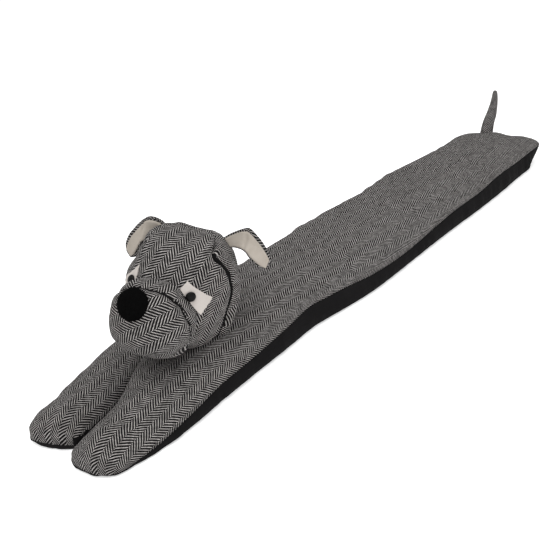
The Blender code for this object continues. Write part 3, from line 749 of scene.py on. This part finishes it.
def make_body_top(x, y, from_front, from_back):
    """The woven top panel over its filling, with a black underside, and black faces down in the slit that are
    partly the black sole and partly painted shade of the slit.
    """
    rows, columns = x.shape
    seam = seam_height(x, y)
    under = np.stack([x, y, seam + GAP / 2], axis=2).reshape(-1, 3)
    flat = body_cloth(x, y, from_front, from_back)
    z = body_height(x, y, from_front, from_back)
    near, far, mid = body_lines(x)
    to_rim = np.minimum(np.minimum(y - near, far - y), np.minimum(from_front, from_back))
    to_rim = np.maximum(to_rim, 0.0)
    inside = 1.0 - np.exp(-to_rim / 0.010)
    places = np.stack([x, y, z], axis=2).reshape(-1, 3)
    broad, ridges, puckers = [wave(places, kind).reshape(rows, columns) for kind in BODY_WAVES]
    head_x, head_y, head_reach = UNDER_HEAD
    free = 1.0 - bell(np.hypot(x - head_x, y - head_y), 0.0, head_reach)
    z = z + inside * free * (broad + ridges)
    z = z + free * puckers * np.exp(-to_rim / 0.016) * (1.0 - np.exp(-to_rim / 0.003))
    for bump_x, bump_y, height in TAIL_BUMPS:
        z = z + height * bell(np.hypot(x - bump_x, y - bump_y), 0.0, BUMP_REACH) * inside
    sewn_in = inside * free * (1.0 - 0.8 * slit_share(x) * bell(y, mid, 0.012))
    z = z + swell_body(np.stack([x, y, z], axis=2)) * sewn_in

    swell = RIM_SWELL * (np.exp(-to_rim / 0.012) - np.exp(-to_rim / 0.002))
    y = y + np.sign(y - (near + far) / 2) * swell * (np.minimum(y - near, far - y) <= to_rim + 1e-6)
    z = np.maximum(z, seam + 0.0006) + GAP / 2
    top = np.stack([x, y, z], axis=2).reshape(-1, 3)
    rim = rim_indices(rows, columns)
    top[rim] = under[rim]
    inner = np.setdiff1d(np.arange(len(top)), rim)
    below = np.arange(len(top))
    below[inner] = len(top) + np.arange(len(inner))
    quads = grid_quads(rows, columns)
    faces = quads + [tuple(below[i] for i in reversed(quad)) for quad in quads]

    centre = top[np.array(quads)].mean(axis=1)
    across = centre[:, 1] - along_body("mid", centre[:, 0])
    height = centre[:, 2] - seam_height(centre[:, 0], centre[:, 1])
    # Top-cloth faces low down in the slit get the black cloth: partly the black sole that shows there, partly
    # painted shade of the slit
    low, high = SLIT_SOLE_AND_SHADE_SIDES
    slit_sole_and_shade = (low < across) & (across < high)
    slit_sole_and_shade &= height < SLIT_SOLE_AND_SHADE * ramp(-centre[:, 0], -SLIT_SOLE_AND_SHADE_END, 0.020)
    black = np.concatenate([slit_sole_and_shade, np.ones(len(quads))])
    points = np.vstack([top, under[inner]])
    flat = np.vstack([flat, flat[inner]])
    return add_piece("body_top_cloth", points, faces, [HERRINGBONE, BLACK], flat, black)


def make_body_base(x, y, from_front, from_back):
    """The black side band and bottom, below the seam."""
    low = np.stack([x, y, seam_height(x, y)], axis=2).reshape(-1, 3)
    rim = rim_indices(*x.shape)
    seam = low[rim]
    along = np.roll(seam, -1, axis=0) - np.roll(seam, 1, axis=0)
    outward = unit_rows(np.stack([-along[:, 1], along[:, 0], np.zeros(len(rim))], axis=1))
    around = np.concatenate([[0.0], np.cumsum(lengths(np.diff(seam, axis=0)))])
    wrinkle = sum(wave(around[:, None] * (1.0, 0.0, 0.0), kind) for kind in BASE_WAVES)
    tucked = PAW_TUCK * ramp(-seam[:, 0], 0.405, 0.025)
    tucked *= ramp(-seam[:, 1], 0.012, 0.015) + ramp(seam[:, 1], 0.025, 0.020)
    tucked += CORNER_TUCK * ramp(seam[:, 0], 0.405, 0.035) * ramp(-seam[:, 1], 0.040, 0.035)
    thick = np.minimum(1.0, seam[:, 2] / 0.012)
    points = [low - (0, 0, GAP / 2)]
    flat = [body_cloth(x, y, from_front, from_back)]
    faces = grid_quads(*x.shape)
    upper = rim
    for share, step in BASE_PROFILE[1:]:
        out = step * thick + math.sin(math.pi * share) * wrinkle - tucked * (1.0 - share)
        ring = seam * (1.0, 1.0, share) + outward * out[:, None]
        lower = [sum(map(len, points)) + i for i in range(len(rim))]
        faces += band_quads(lower, upper)
        points.append(ring)
        flat.append(np.stack([around, ring[:, 2]], axis=1))
        upper = lower
    faces.append(tuple(upper))
    return add_piece("body_base_cloth", np.vstack(points), faces, [BLACK], np.vstack(flat))


# Places in the frame

PLAN = body_plan()
base_low, base_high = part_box("body_base")
SHIFT = Vector((
    (base_low.x + base_high.x) / 2 - (PLAN[0].min() + PLAN[0].max()) / 2,
    (base_low.y + base_high.y) / 2 - (PLAN[1].min() + PLAN[1].max()) / 2,
    0.0,
))
HEAD_TURN = Euler((HEAD_TILT, HEAD_PITCH, HEAD_YAW)).to_matrix().to_4x4()
TO_WORLD = Matrix.Translation(Vector(HEAD_CENTRE) + SHIFT) @ HEAD_TURN


def head_way(left, forward, up):
    """A direction in the head, turned into the frame."""
    return (TO_WORLD.to_3x3() @ Vector((-forward, -left, up))).normalized()


FORWARD = head_way(0.0, 1.0, 0.0)


def place_in_world(local):
    """Places in the head, as left, forward and up, put into the frame."""
    return np.array([tuple(TO_WORLD @ Vector((-forward, -left, up))) for left, forward, up in local])


# Head

def part_way(start, end, share):
    return [a + (b - a) * share for a, b in zip(start, end)]


def outline(angle, half_width, half_height, squareness):
    left = np.copysign(np.abs(np.cos(angle)) ** (2.0 / squareness), np.cos(angle))
    up = np.copysign(np.abs(np.sin(angle)) ** (2.0 / squareness), np.sin(angle))
    return half_width * left, half_height * up


def dome_height(share, squareness=DOME_SQUARENESS):
    return (1.0 - np.clip(share, 0.0, 1.0) ** squareness) ** (1.0 / squareness)


def seam_turn(angle):
    degrees = (np.degrees(angle) + 180.0) % 360.0 - 180.0
    folded = np.where(np.abs(degrees) > 90.0, np.sign(degrees) * (180.0 - np.abs(degrees)), degrees)
    turn = np.interp(folded, [row[0] for row in SEAM_ROWS], [row[1] for row in SEAM_ROWS])
    return np.mean([np.roll(turn, k) for k in range(-2, 3)], axis=0)


def far_side_share(left, up):
    """How much wider the head is than its plain outline, on its far side."""
    swell, swell_up, swell_reach = FAR_TEMPLE
    hollow, hollow_up, hollow_reach = FAR_HOLLOW
    share = 1.0 + swell * bell(up, swell_up, swell_reach) - hollow * bell(up, hollow_up, hollow_reach)
    return np.where(left < 0.0, share, 1.0)


def head_surface(angle, turn):
    share = np.cos(turn)
    left, up = outline(angle, HEAD_HALF_WIDTH, HEAD_HALF_HEIGHT, HEAD_SQUARENESS)
    left = left * far_side_share(left, up)
    behind = np.clip(-turn / 0.35, 0.0, 1.0)
    wide = 1.0 + (BACK_WIDTH_SHARE - 1.0) * behind
    high = 1.0 + (BACK_HEIGHT_SHARE - 1.0) * behind
    depth = np.where(turn > 0, FACE_DEPTH, -BACK_DEPTH)
    forward = HEAD_SEAM_FORWARD + depth * dome_height(share)
    return np.stack([HEAD_NEAR_SHIFT + left * share * wide, forward, up * share * high], axis=1)


def turned(flat, degrees):
    angle = math.radians(degrees)
    u = flat[:, 0] * math.cos(angle) - flat[:, 1] * math.sin(angle)
    v = flat[:, 0] * math.sin(angle) + flat[:, 1] * math.cos(angle)
    return np.stack([u, v], axis=1)


def swell_pad(local, faces, outward, free, front):
    """Swelling of a closed pad whose edge is sewn, less its mean, so that the pad keeps its size."""
    if front:
        faces = [tuple(reversed(face)) for face in faces]
    moved = swell_cloth(local, faces, np.flatnonzero(free == 0.0), -0.02)
    rise = (moved * outward).sum(axis=1)
    rise = HEAD_SWELL_KEPT * (rise - rise[free > 0.9].mean())
    return outward * (np.clip(rise, -HEAD_SWELL_REACH, HEAD_SWELL_REACH) * free)[:, None]


def head_flat(plain, tip):
    """Places of a half's rings on the flat cloth, as far from its middle as the cloth runs to the tip."""
    rings = np.array(plain + [np.repeat(tip, HEAD_SIDES, axis=0)])
    steps = lengths(np.diff(rings, axis=0))
    to_tip = np.cumsum(steps[::-1], axis=0)[::-1]
    way = np.arctan2(rings[:-1, :, 2], rings[:-1, :, 0] - HEAD_NEAR_SHIFT)
    flat = np.stack([to_tip * np.cos(way), to_tip * np.sin(way)], axis=2).reshape(-1, 2)
    return np.vstack([flat, np.zeros((1, 2))])


def make_head_half(name, front, weave_angle):
    """The stuffed face or back of the head, from the seam around the head to its tip."""
    sides = HEAD_SIDES
    angle = 2 * math.pi * np.arange(sides) / sides
    from_top = np.abs(np.degrees(angle) - 90.0)
    near_side = np.clip(np.cos(angle + math.radians(15.0)), 0.0, 1.0) ** 2
    groove = HEAD_GROOVE * (1.0 - 0.6 * bell(from_top, 0.0, 38.0))
    start = seam_turn(angle)
    goal = math.pi / 2 if front else -math.pi / 2
    rings = []
    plain = []
    for k in range(HEAD_RINGS):
        turn = start + (goal - start) * (k / HEAD_RINGS) ** 1.5
        here = head_surface(angle, turn)
        plain.append(here)
        distance = np.abs(turn - start) * SEAM_LENGTH
        around = np.stack([np.cos(angle), np.sin(angle), np.full(sides, 0.03 * k)], axis=1)
        drawn_in = groove * np.exp(-(distance / GROOVE_WIDTH) ** 1.2)
        drawn_in += wave(around, FACE_PUCKER if front else BACK_PUCKER) * np.exp(-distance / 0.012)
        drawn_in -= SEAM_SWELL * bell(distance, 0.012, 0.008)
        if front:
            drawn_in += FACE_DIP * np.exp(-distance / 0.006) * near_side
        else:
            drawn_in -= BACK_BULGE * bell(distance, 0.011, 0.008) * near_side
        inward = unit_rows((here - (HEAD_NEAR_SHIFT, 0.0, 0.0)) * (1.0, 0.0, 1.0))
        here = here - inward * drawn_in[:, None]
        here[:, 1] += (GAP if front else -GAP) / 2
        rings.append(here)
    tip = np.array([[HEAD_NEAR_SHIFT, HEAD_SEAM_FORWARD + (FACE_DEPTH if front else -BACK_DEPTH), 0.0]])
    local = np.vstack(rings + [tip])
    flat = HEAD_WEAVE * turned(head_flat(plain, tip), weave_angle)
    last = (HEAD_RINGS - 1) * sides
    faces = grid_quads(HEAD_RINGS, sides, wrap=True)
    faces += [(last + i, last + (i + 1) % sides, len(local) - 1) for i in range(sides)]

    outward = unit_rows(local - (HEAD_NEAR_SHIFT, 0.0, 0.0))
    free = np.minimum(np.arange(len(local)) // sides / 6.0, 1.0)
    local = local + outward * (sum(wave(local, kind) for kind in HEAD_WAVES) * free)[:, None]
    local = local + swell_pad(local, faces, outward, free, front)
    on_crown = np.clip(local[:, 2] / HEAD_HALF_HEIGHT, 0.0, 1.0) ** 3
    local[:, 2] -= CROWN_DIP * bell(local[:, 0], 0.006, 0.022) * on_crown
    world = seat(place_in_world(local), (0, 0, 1), body_tree)
    number = np.arange(len(faces))
    # Painted shade: faces in the rings next to the seam, away from the top, get the black cloth as the
    # groove's shadow
    painted_groove_shade = (number < GROOVE_SHADE_RINGS * sides) & (from_top > GROOVE_SHADE_HIDDEN_ABOVE)[number % sides]
    faces.append(tuple(reversed(range(sides))))
    return add_piece(name, world, faces, [HERRINGBONE, BLACK], flat, np.append(painted_groove_shade, 1))


def muzzle_arc(share):
    """Distance over the muzzle's front from its tip to a share of its width, over its half width."""
    steps = np.linspace(0.0, 1.0, 400)
    rise = np.diff(dome_height(steps, MUZZLE_SQUARENESS)) * MUZZLE_DEPTH / MUZZLE_HALF_WIDTH
    return np.interp(share, steps, np.concatenate([[0.0], np.cumsum(np.hypot(np.diff(steps), rise))]))


def clear_patch(local):
    """The muzzle gives way to the near eye's patch: places over its lower edge go back to that edge."""
    low, high = np.array(NEAR_PATCH.inner_low), np.array(NEAR_PATCH.outer_low)
    length = lengths(high - low)
    along = (high - low) / length
    into = np.array((-along[1], along[0]))
    places = local[:, [0, 2]] - low
    over = np.clip(places @ into + PATCH_CLEARANCE, 0.0, 0.012)
    beside = places @ along
    share = ramp(beside, -PATCH_WINDOW, PATCH_WINDOW) * ramp(-beside, -length - PATCH_WINDOW, PATCH_WINDOW)
    share = share * ramp(-local[:, 1], -0.094, 0.014)
    moved = local.copy()
    moved[:, [0, 2]] -= into * (over * share)[:, None]
    return moved


def clear_far_bead(local):
    """The muzzle's band goes round the far bead."""
    from_bead = local * (1.0, 0.0, 1.0) - (FAR_EYE[0], 0.0, FAR_EYE[1])
    distance = np.maximum(lengths(from_bead), 1e-6)
    dent = np.clip(EYE_RADIUS + BEAD_CLEARANCE - distance, 0.0, None) * (local[:, 1] < 0.062)
    return local + from_bead / distance[:, None] * dent[:, None]


def muzzle_whole():
    """The closed muzzle, before it is split into its two panels."""
    left0, forward0, up0 = MUZZLE_CENTRE
    angle = 2 * math.pi * np.arange(MUZZLE_SIDES) / MUZZLE_SIDES
    left, up = outline(angle, MUZZLE_HALF_WIDTH, MUZZLE_HALF_HEIGHT, MUZZLE_SQUARENESS)
    left = left * (1.0 - MUZZLE_TAPER * up / MUZZLE_HALF_HEIGHT)
    bm = bmesh.new()
    rings = []
    for k in range(MUZZLE_STEPS + 1):
        turn = math.pi * (0.02 + 0.96 * k / MUZZLE_STEPS) - math.pi / 2
        share = math.cos(turn)
        reach = MUZZLE_DEPTH if turn > 0 else MUZZLE_TAIL
        forward = forward0 + math.copysign(reach * float(dome_height(share, MUZZLE_SQUARENESS)), turn)
        rings.append([bm.verts.new((left0 + a * share, forward, up0 + b * share)) for a, b in zip(left, up)])
    for low, high in zip(rings, rings[1:]):
        for quad in band_quads(low, high):
            bm.faces.new(quad)
    bm.faces.new(list(reversed(rings[0])))
    bm.faces.new(rings[-1])
    return bm


def make_muzzle_panel(name, whole, behind, weave_angle):
    """One panel of the muzzle: the band behind its panel seam, or the front."""
    left0, forward0, up0 = MUZZLE_CENTRE
    normal = Vector((0.0, 1.0, -PANEL_EDGE_SLOPE)).normalized()
    seam = Vector((0.0, PANEL_EDGE_FORWARD, 0.0))
    half = whole.copy()
    cut = bmesh.ops.bisect_plane(
        half, geom=half.verts[:] + half.edges[:] + half.faces[:],
        plane_co=seam + normal * (-GAP / 2 if behind else GAP / 2),
        plane_no=normal, clear_outer=behind, clear_inner=not behind,
    )
    bmesh.ops.contextual_create(half, geom=[e for e in cut["geom_cut"] if isinstance(e, bmesh.types.BMEdge)])
    half.verts.index_update()
    local = np.array([tuple(v.co) for v in half.verts])
    faces = [tuple(v.index for v in face.verts) for face in half.faces]
    half.free()

    away = np.abs((local - tuple(seam)) @ np.array(normal))
    run = local - (left0, 0.0, up0)
    inward = unit_rows(run * (1.0, 0.0, 1.0))
    edge = np.clip(np.hypot(run[:, 0] / MUZZLE_HALF_WIDTH, run[:, 2] / MUZZLE_HALF_HEIGHT), 0.0, 1.0)
    groove = MUZZLE_GROOVE * np.exp(-(away / MUZZLE_GROOVE_WIDTH) ** 1.2)
    pinch = groove + wave(local, MUZZLE_PUCKER) * np.exp(-away / 0.010)
    if behind:
        way = np.arctan2(run[:, 2], run[:, 0])
        flat = np.stack([way * 0.045, local[:, 1] + GROOVE_TAKES_UP * groove], axis=1)
    else:
        pinch -= MUZZLE_SWELL * bell(away, 0.009, 0.006)
        reach = np.hypot(run[:, 0], run[:, 2])
        run_out = muzzle_arc(edge) * reach / np.maximum(edge, 1e-3) + GROOVE_TAKES_UP * groove
        flat = inward[:, [0, 2]] * run_out[:, None]
    local = local - inward * (pinch * edge)[:, None]
    outward = unit_rows(local - (left0, forward0 - 0.01, up0))
    broad = sum(wave(local, kind) for kind in MUZZLE_WAVES)
    broad = np.minimum(broad, 0.0) if behind else broad
    local = clear_patch(local + outward * (broad * ramp(away, 0.0, 0.006))[:, None])
    if behind:
        local = clear_far_bead(local)
    world = seat(seat(place_in_world(local), FORWARD, face_tree), (0, 0, 1), body_tree)
    # Painted shade: faces next to the panel seam get the black cloth as the crease's shadow
    painted_groove_shade = [away[list(face)].mean() < MUZZLE_SEAM_SHADE for face in faces]
    flat = HEAD_WEAVE * turned(flat, weave_angle)
    return add_piece(name, world, faces, [HERRINGBONE, BLACK], flat, painted_groove_shade)


def make_nose(front_tree):
    facing = head_way(*NOSE_FACING)
    turn = facing.to_track_quat("Z", "Y")
    centre = Vector(place_in_world([NOSE_PLACE])[0])
    bm = bmesh.new()
    bmesh.ops.create_icosphere(bm, subdivisions=5, radius=1.0)
    points = []
    ways = []
    for vert in bm.verts:
        lump = 1.0 + 0.035 * noise.noise(vert.co * 2.2) + 0.02 * noise.noise(vert.co * 11.0)
        flat = Vector((vert.co.x * NOSE_RADIUS, vert.co.y * NOSE_RADIUS, vert.co.z * NOSE_THICKNESS))
        points.append(centre + turn @ (flat * lump))
        ways.append(turn @ vert.co)
    bm.verts.index_update()
    faces = [tuple(v.index for v in face.verts) for face in bm.faces]
    bm.free()
    points = [Vector(p) for p in seat(points, facing, front_tree)]
    rng = np.random.default_rng(7)
    chosen = rng.choice(len(points), NOSE_FIBRES, replace=True)
    lean = rng.normal(0.0, 0.45, (NOSE_FIBRES, 3))
    for root, bend in zip(chosen, lean):
        out = ways[root]
        if out.dot(facing) < -0.25:
            continue
        way = (out + Vector(tuple(bend))).normalized()
        side = way.orthogonal().normalized()
        other = way.cross(side)
        start = points[root] - out * 0.0004
        first = len(points)
        for i in range(3):
            angle = 2 * math.pi * i / 3
            points.append(start + (side * math.cos(angle) + other * math.sin(angle)) * FIBRE_RADIUS)
        points.append(start + way * FIBRE_LENGTH)
        faces += [(first, first + 1, first + 3), (first + 1, first + 2, first + 3)]
        faces += [(first + 2, first, first + 3), (first + 2, first + 1, first)]
    return add_piece("nose_fleece", points, faces, [FLEECE])


def make_eye_patch(name, corners):
    """A felt patch laid on the face, with its flat size and area."""
    middle = TO_WORLD.translation
    rows, columns = PATCH_GRID
    local = []
    for i in range(rows):
        high = part_way(corners.inner_top, corners.outer_top, i / (rows - 1))
        low = part_way(corners.inner_low, corners.outer_low, i / (rows - 1))
        for j in range(columns):
            left, up = part_way(low, high, j / (columns - 1))
            edge = 1.0 if i in (0, rows - 1) or j in (0, columns - 1) else 0.3
            fray = PATCH_FRAY * edge * noise.noise(Vector((left, up, 0.0)) * 900.0)
            local.append((left + fray, 0.09, up - fray))
    layers = [[], []]
    for point in place_in_world(local):
        point = Vector(point)
        hit, way, _, _ = face_tree.ray_cast(point, -FORWARD, 0.12)
        if hit is None or (hit - middle).dot(FORWARD) < 0.012:
            hit, way, _, _ = face_tree.find_nearest(point - FORWARD * 0.062)
        normal = way if way.dot(point - middle) > 0 else -way
        for layer, height in zip(layers, (GAP, PATCH_THICKNESS)):
            layer.append(tuple(hit + normal * height))
    size, area = sheet_size(np.array(layers[0]).reshape(rows, columns, 3))
    return add_piece(name, np.vstack(layers), sheet_faces(rows, columns), [PATCH_FELT]), size, area


def make_eye(name, place, patch_tree):
    """A domed bead on its patch."""
    start = Vector(place_in_world([(place[0], 0.12, place[1])])[0])
    hit, way, _, _ = patch_tree.ray_cast(start, -FORWARD, 0.2)
    if hit is None:
        hit, way, _, _ = patch_tree.find_nearest(start - FORWARD * 0.075)
    normal = way if way.dot(FORWARD) > 0 else -way
    turn = normal.to_track_quat("Z", "Y")
    sides, rings = BEAD_GRID
    points = []
    for k in range(rings):
        tilt = math.pi / 2 * k / (rings - 1)
        reach = EYE_RADIUS * (0.94 if k == 0 else math.cos(tilt * 0.985) ** 0.8)
        height = EYE_HEIGHT * (0.0 if k == 0 else 0.12 + 0.88 * math.sin(tilt)) + GAP
        for i in range(sides):
            angle = 2 * math.pi * i / sides
            points.append(hit + turn @ Vector((reach * math.cos(angle), reach * math.sin(angle), height)))
    faces = grid_quads(rings, sides, wrap=True)
    faces.append(tuple(reversed(range(sides))))
    faces.append(tuple((rings - 1) * sides + i for i in range(sides)))
    return add_piece(name, points, faces, [BEAD])


def in_head(local):
    left, forward, up = local
    left = left - HEAD_NEAR_SHIFT
    across = abs(left / (HEAD_HALF_WIDTH * 1.02 * float(far_side_share(left, up)))) ** HEAD_SQUARENESS
    across += abs(up / HEAD_HALF_HEIGHT) ** HEAD_SQUARENESS
    share = across ** (1.0 / HEAD_SQUARENESS)
    depth = FACE_DEPTH if forward > HEAD_SEAM_FORWARD else BACK_DEPTH
    return share < 0.97 and abs(forward - HEAD_SEAM_FORWARD) < depth * float(dome_height(share))


def ear_place(rows, along, across):
    places = list(range(len(rows)))
    at = along * (len(rows) - 1)
    upper = [curve_through([row.upper[k] for row in rows], places, at) for k in range(3)]
    lower = [curve_through([row.lower[k] for row in rows], places, at) for k in range(3)]
    left, forward, up = part_way(upper, lower, across)
    forward -= EAR_CUP * math.sin(math.pi * across) * math.sin(math.pi * min(along / EAR_CUP_END, 1.0))
    return np.array([left, forward, up])


def ear_start(rows, across):
    """Share of the ear's length at which it comes out of the head."""
    return next((k / 200 for k in range(200) if not in_head(ear_place(rows, k / 200, across))), 0.5)


def ear_normal(rows, along, across):
    before, after = max(along - EAR_STEP, 0.0), min(along + EAR_STEP, 1.0)
    outward = ear_place(rows, after, across) - ear_place(rows, before, across)
    downward = ear_place(rows, along, across + EAR_STEP) - ear_place(rows, along, across - EAR_STEP)
    normal = np.cross(outward, downward)
    return normal / math.copysign(np.linalg.norm(normal), normal[1])


def ear_flat(grid):
    """Each point's place on the flat cloth, by its distance along the cloth from the middle lines."""
    rows, columns = grid.shape[:2]
    u = np.zeros((rows, columns))
    v = np.zeros((rows, columns))
    u[:, 1:] = np.cumsum(lengths(np.diff(grid, axis=1)), axis=1)
    v[1:] = np.cumsum(lengths(np.diff(grid, axis=0)), axis=0)
    across, along = columns // 2, rows // 2
    u = u - u[:, across:across + 1] + grid[:, across, 1:2]
    v = v - v[along:along + 1] + grid[along:along + 1, :, 0]
    return np.stack([u, v], axis=2).reshape(-1, 2)


def make_ear_sheet(name, rows, margins, lining):
    """The woven outer cloth of an ear, or the felt lining in front of it, with its flat size and area."""
    side = 1.0 if lining else -1.0
    layers = [[], []]
    for i in range(EAR_ALONG + 1):
        share = i / EAR_ALONG
        to_lobe = min(max((share - 0.28) / 0.15, 0.0), 1.0)
        upper = margins.root + (margins.lobe - margins.root) * to_lobe if lining else 0.0
        lower = 1.0 - (margins.low if lining else 0.0)
        for j in range(EAR_ACROSS + 1):
            across = upper + (lower - upper) * j / EAR_ACROSS
            first = max(ear_start(rows, across) - 0.01, 0.0)
            last = 1.0 - (LINING_TIP_MARGIN if lining else 0.0)
            along = first + (last - first) * share
            here = ear_place(rows, along, across)
            ripple = EAR_RIPPLE * noise.noise(Vector(here) * 90.0)
            ripple -= FOLD_DEPTH * bell(along, CREASE_ALONG, FOLD_WIDTH)
            ripple -= DENT_DEPTH * bell(along, 0.62 - 0.1 * across, DENT_WIDTH)
            thickness = EAR_SHEET * (0.45 if i in (0, EAR_ALONG) or j in (0, EAR_ACROSS) else 1.0)
            normal = ear_normal(rows, along, across)
            for layer, height in zip(layers, (EAR_GAP / 2, EAR_GAP / 2 + thickness)):
                layer.append(here + normal * (side * height + ripple))
    count = (EAR_ALONG + 1, EAR_ACROSS + 1)
    grid = np.array(layers[0]).reshape(*count, 3)
    flat = np.vstack([turned(ear_flat(grid), 8.0)] * 2)
    world = place_in_world(np.vstack(layers))
    material = FELT if lining else HERRINGBONE
    size, area = sheet_size(grid)
    return add_piece(name, world, sheet_faces(*count), [material], flat), size, area


# Tail

def make_tail():
    places = list(range(len(TAIL_POINTS)))
    sides, steps = TAIL_SIDES, TAIL_STEPS
    rows = []
    for k in range(steps + 1):
        at = k / steps * (len(TAIL_POINTS) - 1)
        rows.append([curve_through([p[c] for p in TAIL_POINTS], places, at) for c in range(4)])
    centres = [Vector(row[:3]) + SHIFT for row in rows]
    points = []
    flat = []
    run = 0.0
    for k, centre in enumerate(centres):
        way = (centres[min(k + 1, steps)] - centres[max(k - 1, 0)]).normalized()
        side = Vector((0, 1, 0)).cross(way).normalized()
        other = way.cross(side)
        run += (centre - centres[max(k - 1, 0)]).length
        tip = 1.0 if k < steps - 6 else math.sqrt(max(1.0 - ((k - steps + 6) / 6.3) ** 2, 0.02))
        for i in range(sides + 1):
            angle = 2 * math.pi * i / sides
            lump = 1.0 + 0.05 * noise.noise(Vector((math.cos(angle), math.sin(angle), run * 60)))
            reach = rows[k][3] * tip * lump
            points.append(centre + side * (reach * math.cos(angle)) + other * (reach * math.sin(angle)))
            flat.append((angle * TAIL_CLOTH_RADIUS, run))
    faces = grid_quads(steps + 1, sides + 1)
    faces.append(tuple(range(sides)))
    faces.append(tuple(reversed([steps * (sides + 1) + i for i in range(sides)])))
    return add_piece("tail_cloth", seat(points, (0, 0, 1), body_tree), faces, [HERRINGBONE], np.array(flat))


# Build

def dress(piece, node):
    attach(piece, "root")
    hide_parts(node)


body_top = make_body_top(*PLAN)
body_base = make_body_base(*PLAN)
for obj in (body_top, body_base):
    obj.data.transform(Matrix.Translation(SHIFT))
body_tree = tree_of(body_top)
face = make_head_half("head_face_cloth", True, 17.0)
back = make_head_half("head_back_cloth", False, -8.0)
face_tree = tree_of(face)
muzzle = muzzle_whole()
band = make_muzzle_panel("muzzle_band_cloth", muzzle, True, 20.0)
front = make_muzzle_panel("muzzle_front_cloth", muzzle, False, 51.0)
muzzle.free()
nose = make_nose(tree_of(front))
tail = make_tail()

for obj, node, slot, fill in (
    (body_top, "body_top", "herringbone", 0.8), (body_base, "body_base", "black_cotton", 0.8),
    (face, "head_face", "herringbone", 0.9), (back, "head_back", "herringbone", 0.9),
    (band, "muzzle_band", "herringbone", 0.9), (front, "muzzle_front", "herringbone", 0.9),
    (nose, "nose", "black_fleece", 1.0), (tail, "tail", "herringbone", 0.9),
):
    dress(obj, node)

for side, corners, eye_place, rows, margins in (
    ("near", NEAR_PATCH, NEAR_EYE, NEAR_EAR_ROWS, NEAR_MARGINS),
    ("far", FAR_PATCH, FAR_EYE, FAR_EAR_ROWS, FAR_MARGINS),
):
    patch, size, area = make_eye_patch("eye_patch_" + side + "_felt", corners)
    dress(patch, "eye_patch_" + side)
    eye = make_eye("eye_" + side + "_bead", eye_place, tree_of(patch))
    dress(eye, "eye_" + side)
    for lining, node in ((False, "ear_" + side + "_outer"), (True, "ear_" + side + "_lining")):
        ear, size, area = make_ear_sheet(node + "_cloth", rows, margins, lining)
        dress(ear, node)


# Stage

def make_stage():
    bm = bmesh.new()
    bmesh.ops.create_grid(bm, x_segments=2, y_segments=2, size=30.0)
    mesh = bpy.data.meshes.new("floor")
    bm.to_mesh(mesh)
    bm.free()
    mesh.materials.append(floor_material())
    floor = add_object("floor", mesh)
    floor.location.z = -FLOOR_DROP

    world = bpy.data.worlds.new("studio")
    bpy.context.scene.world = world
    world.use_nodes = True
    background = world.node_tree.nodes["Background"]
    background.inputs[0].default_value = (1.0, 1.0, 1.0, 1.0)
    background.inputs[1].default_value = WORLD_LIGHT

    for name, place, size, power in LAMPS:
        lamp = bpy.data.lights.new(name, "AREA")
        lamp.size = size
        lamp.energy = power
        light = add_object(name, lamp)
        light.location = place
        light.rotation_euler = (-Vector(place)).to_track_quat("-Z", "Y").to_euler()
    bpy.context.scene.view_settings.view_transform = "Standard"


def make_camera():
    data = bpy.data.cameras.new("camera")
    data.lens = CAMERA_LENS
    data.sensor_width = 36.0
    data.clip_start = 0.01
    camera = add_object("camera", data)
    facing = Matrix.Rotation(-CAMERA_YAW, 4, "Z") @ Matrix.Rotation(math.pi / 2 - CAMERA_PITCH, 4, "X")
    camera.matrix_world = Matrix.Translation(CAMERA_PLACE) @ facing @ Matrix.Rotation(CAMERA_ROLL, 4, "Z")
    bpy.context.scene.camera = camera


make_stage()
make_camera()

bpy.context.view_layer.update()
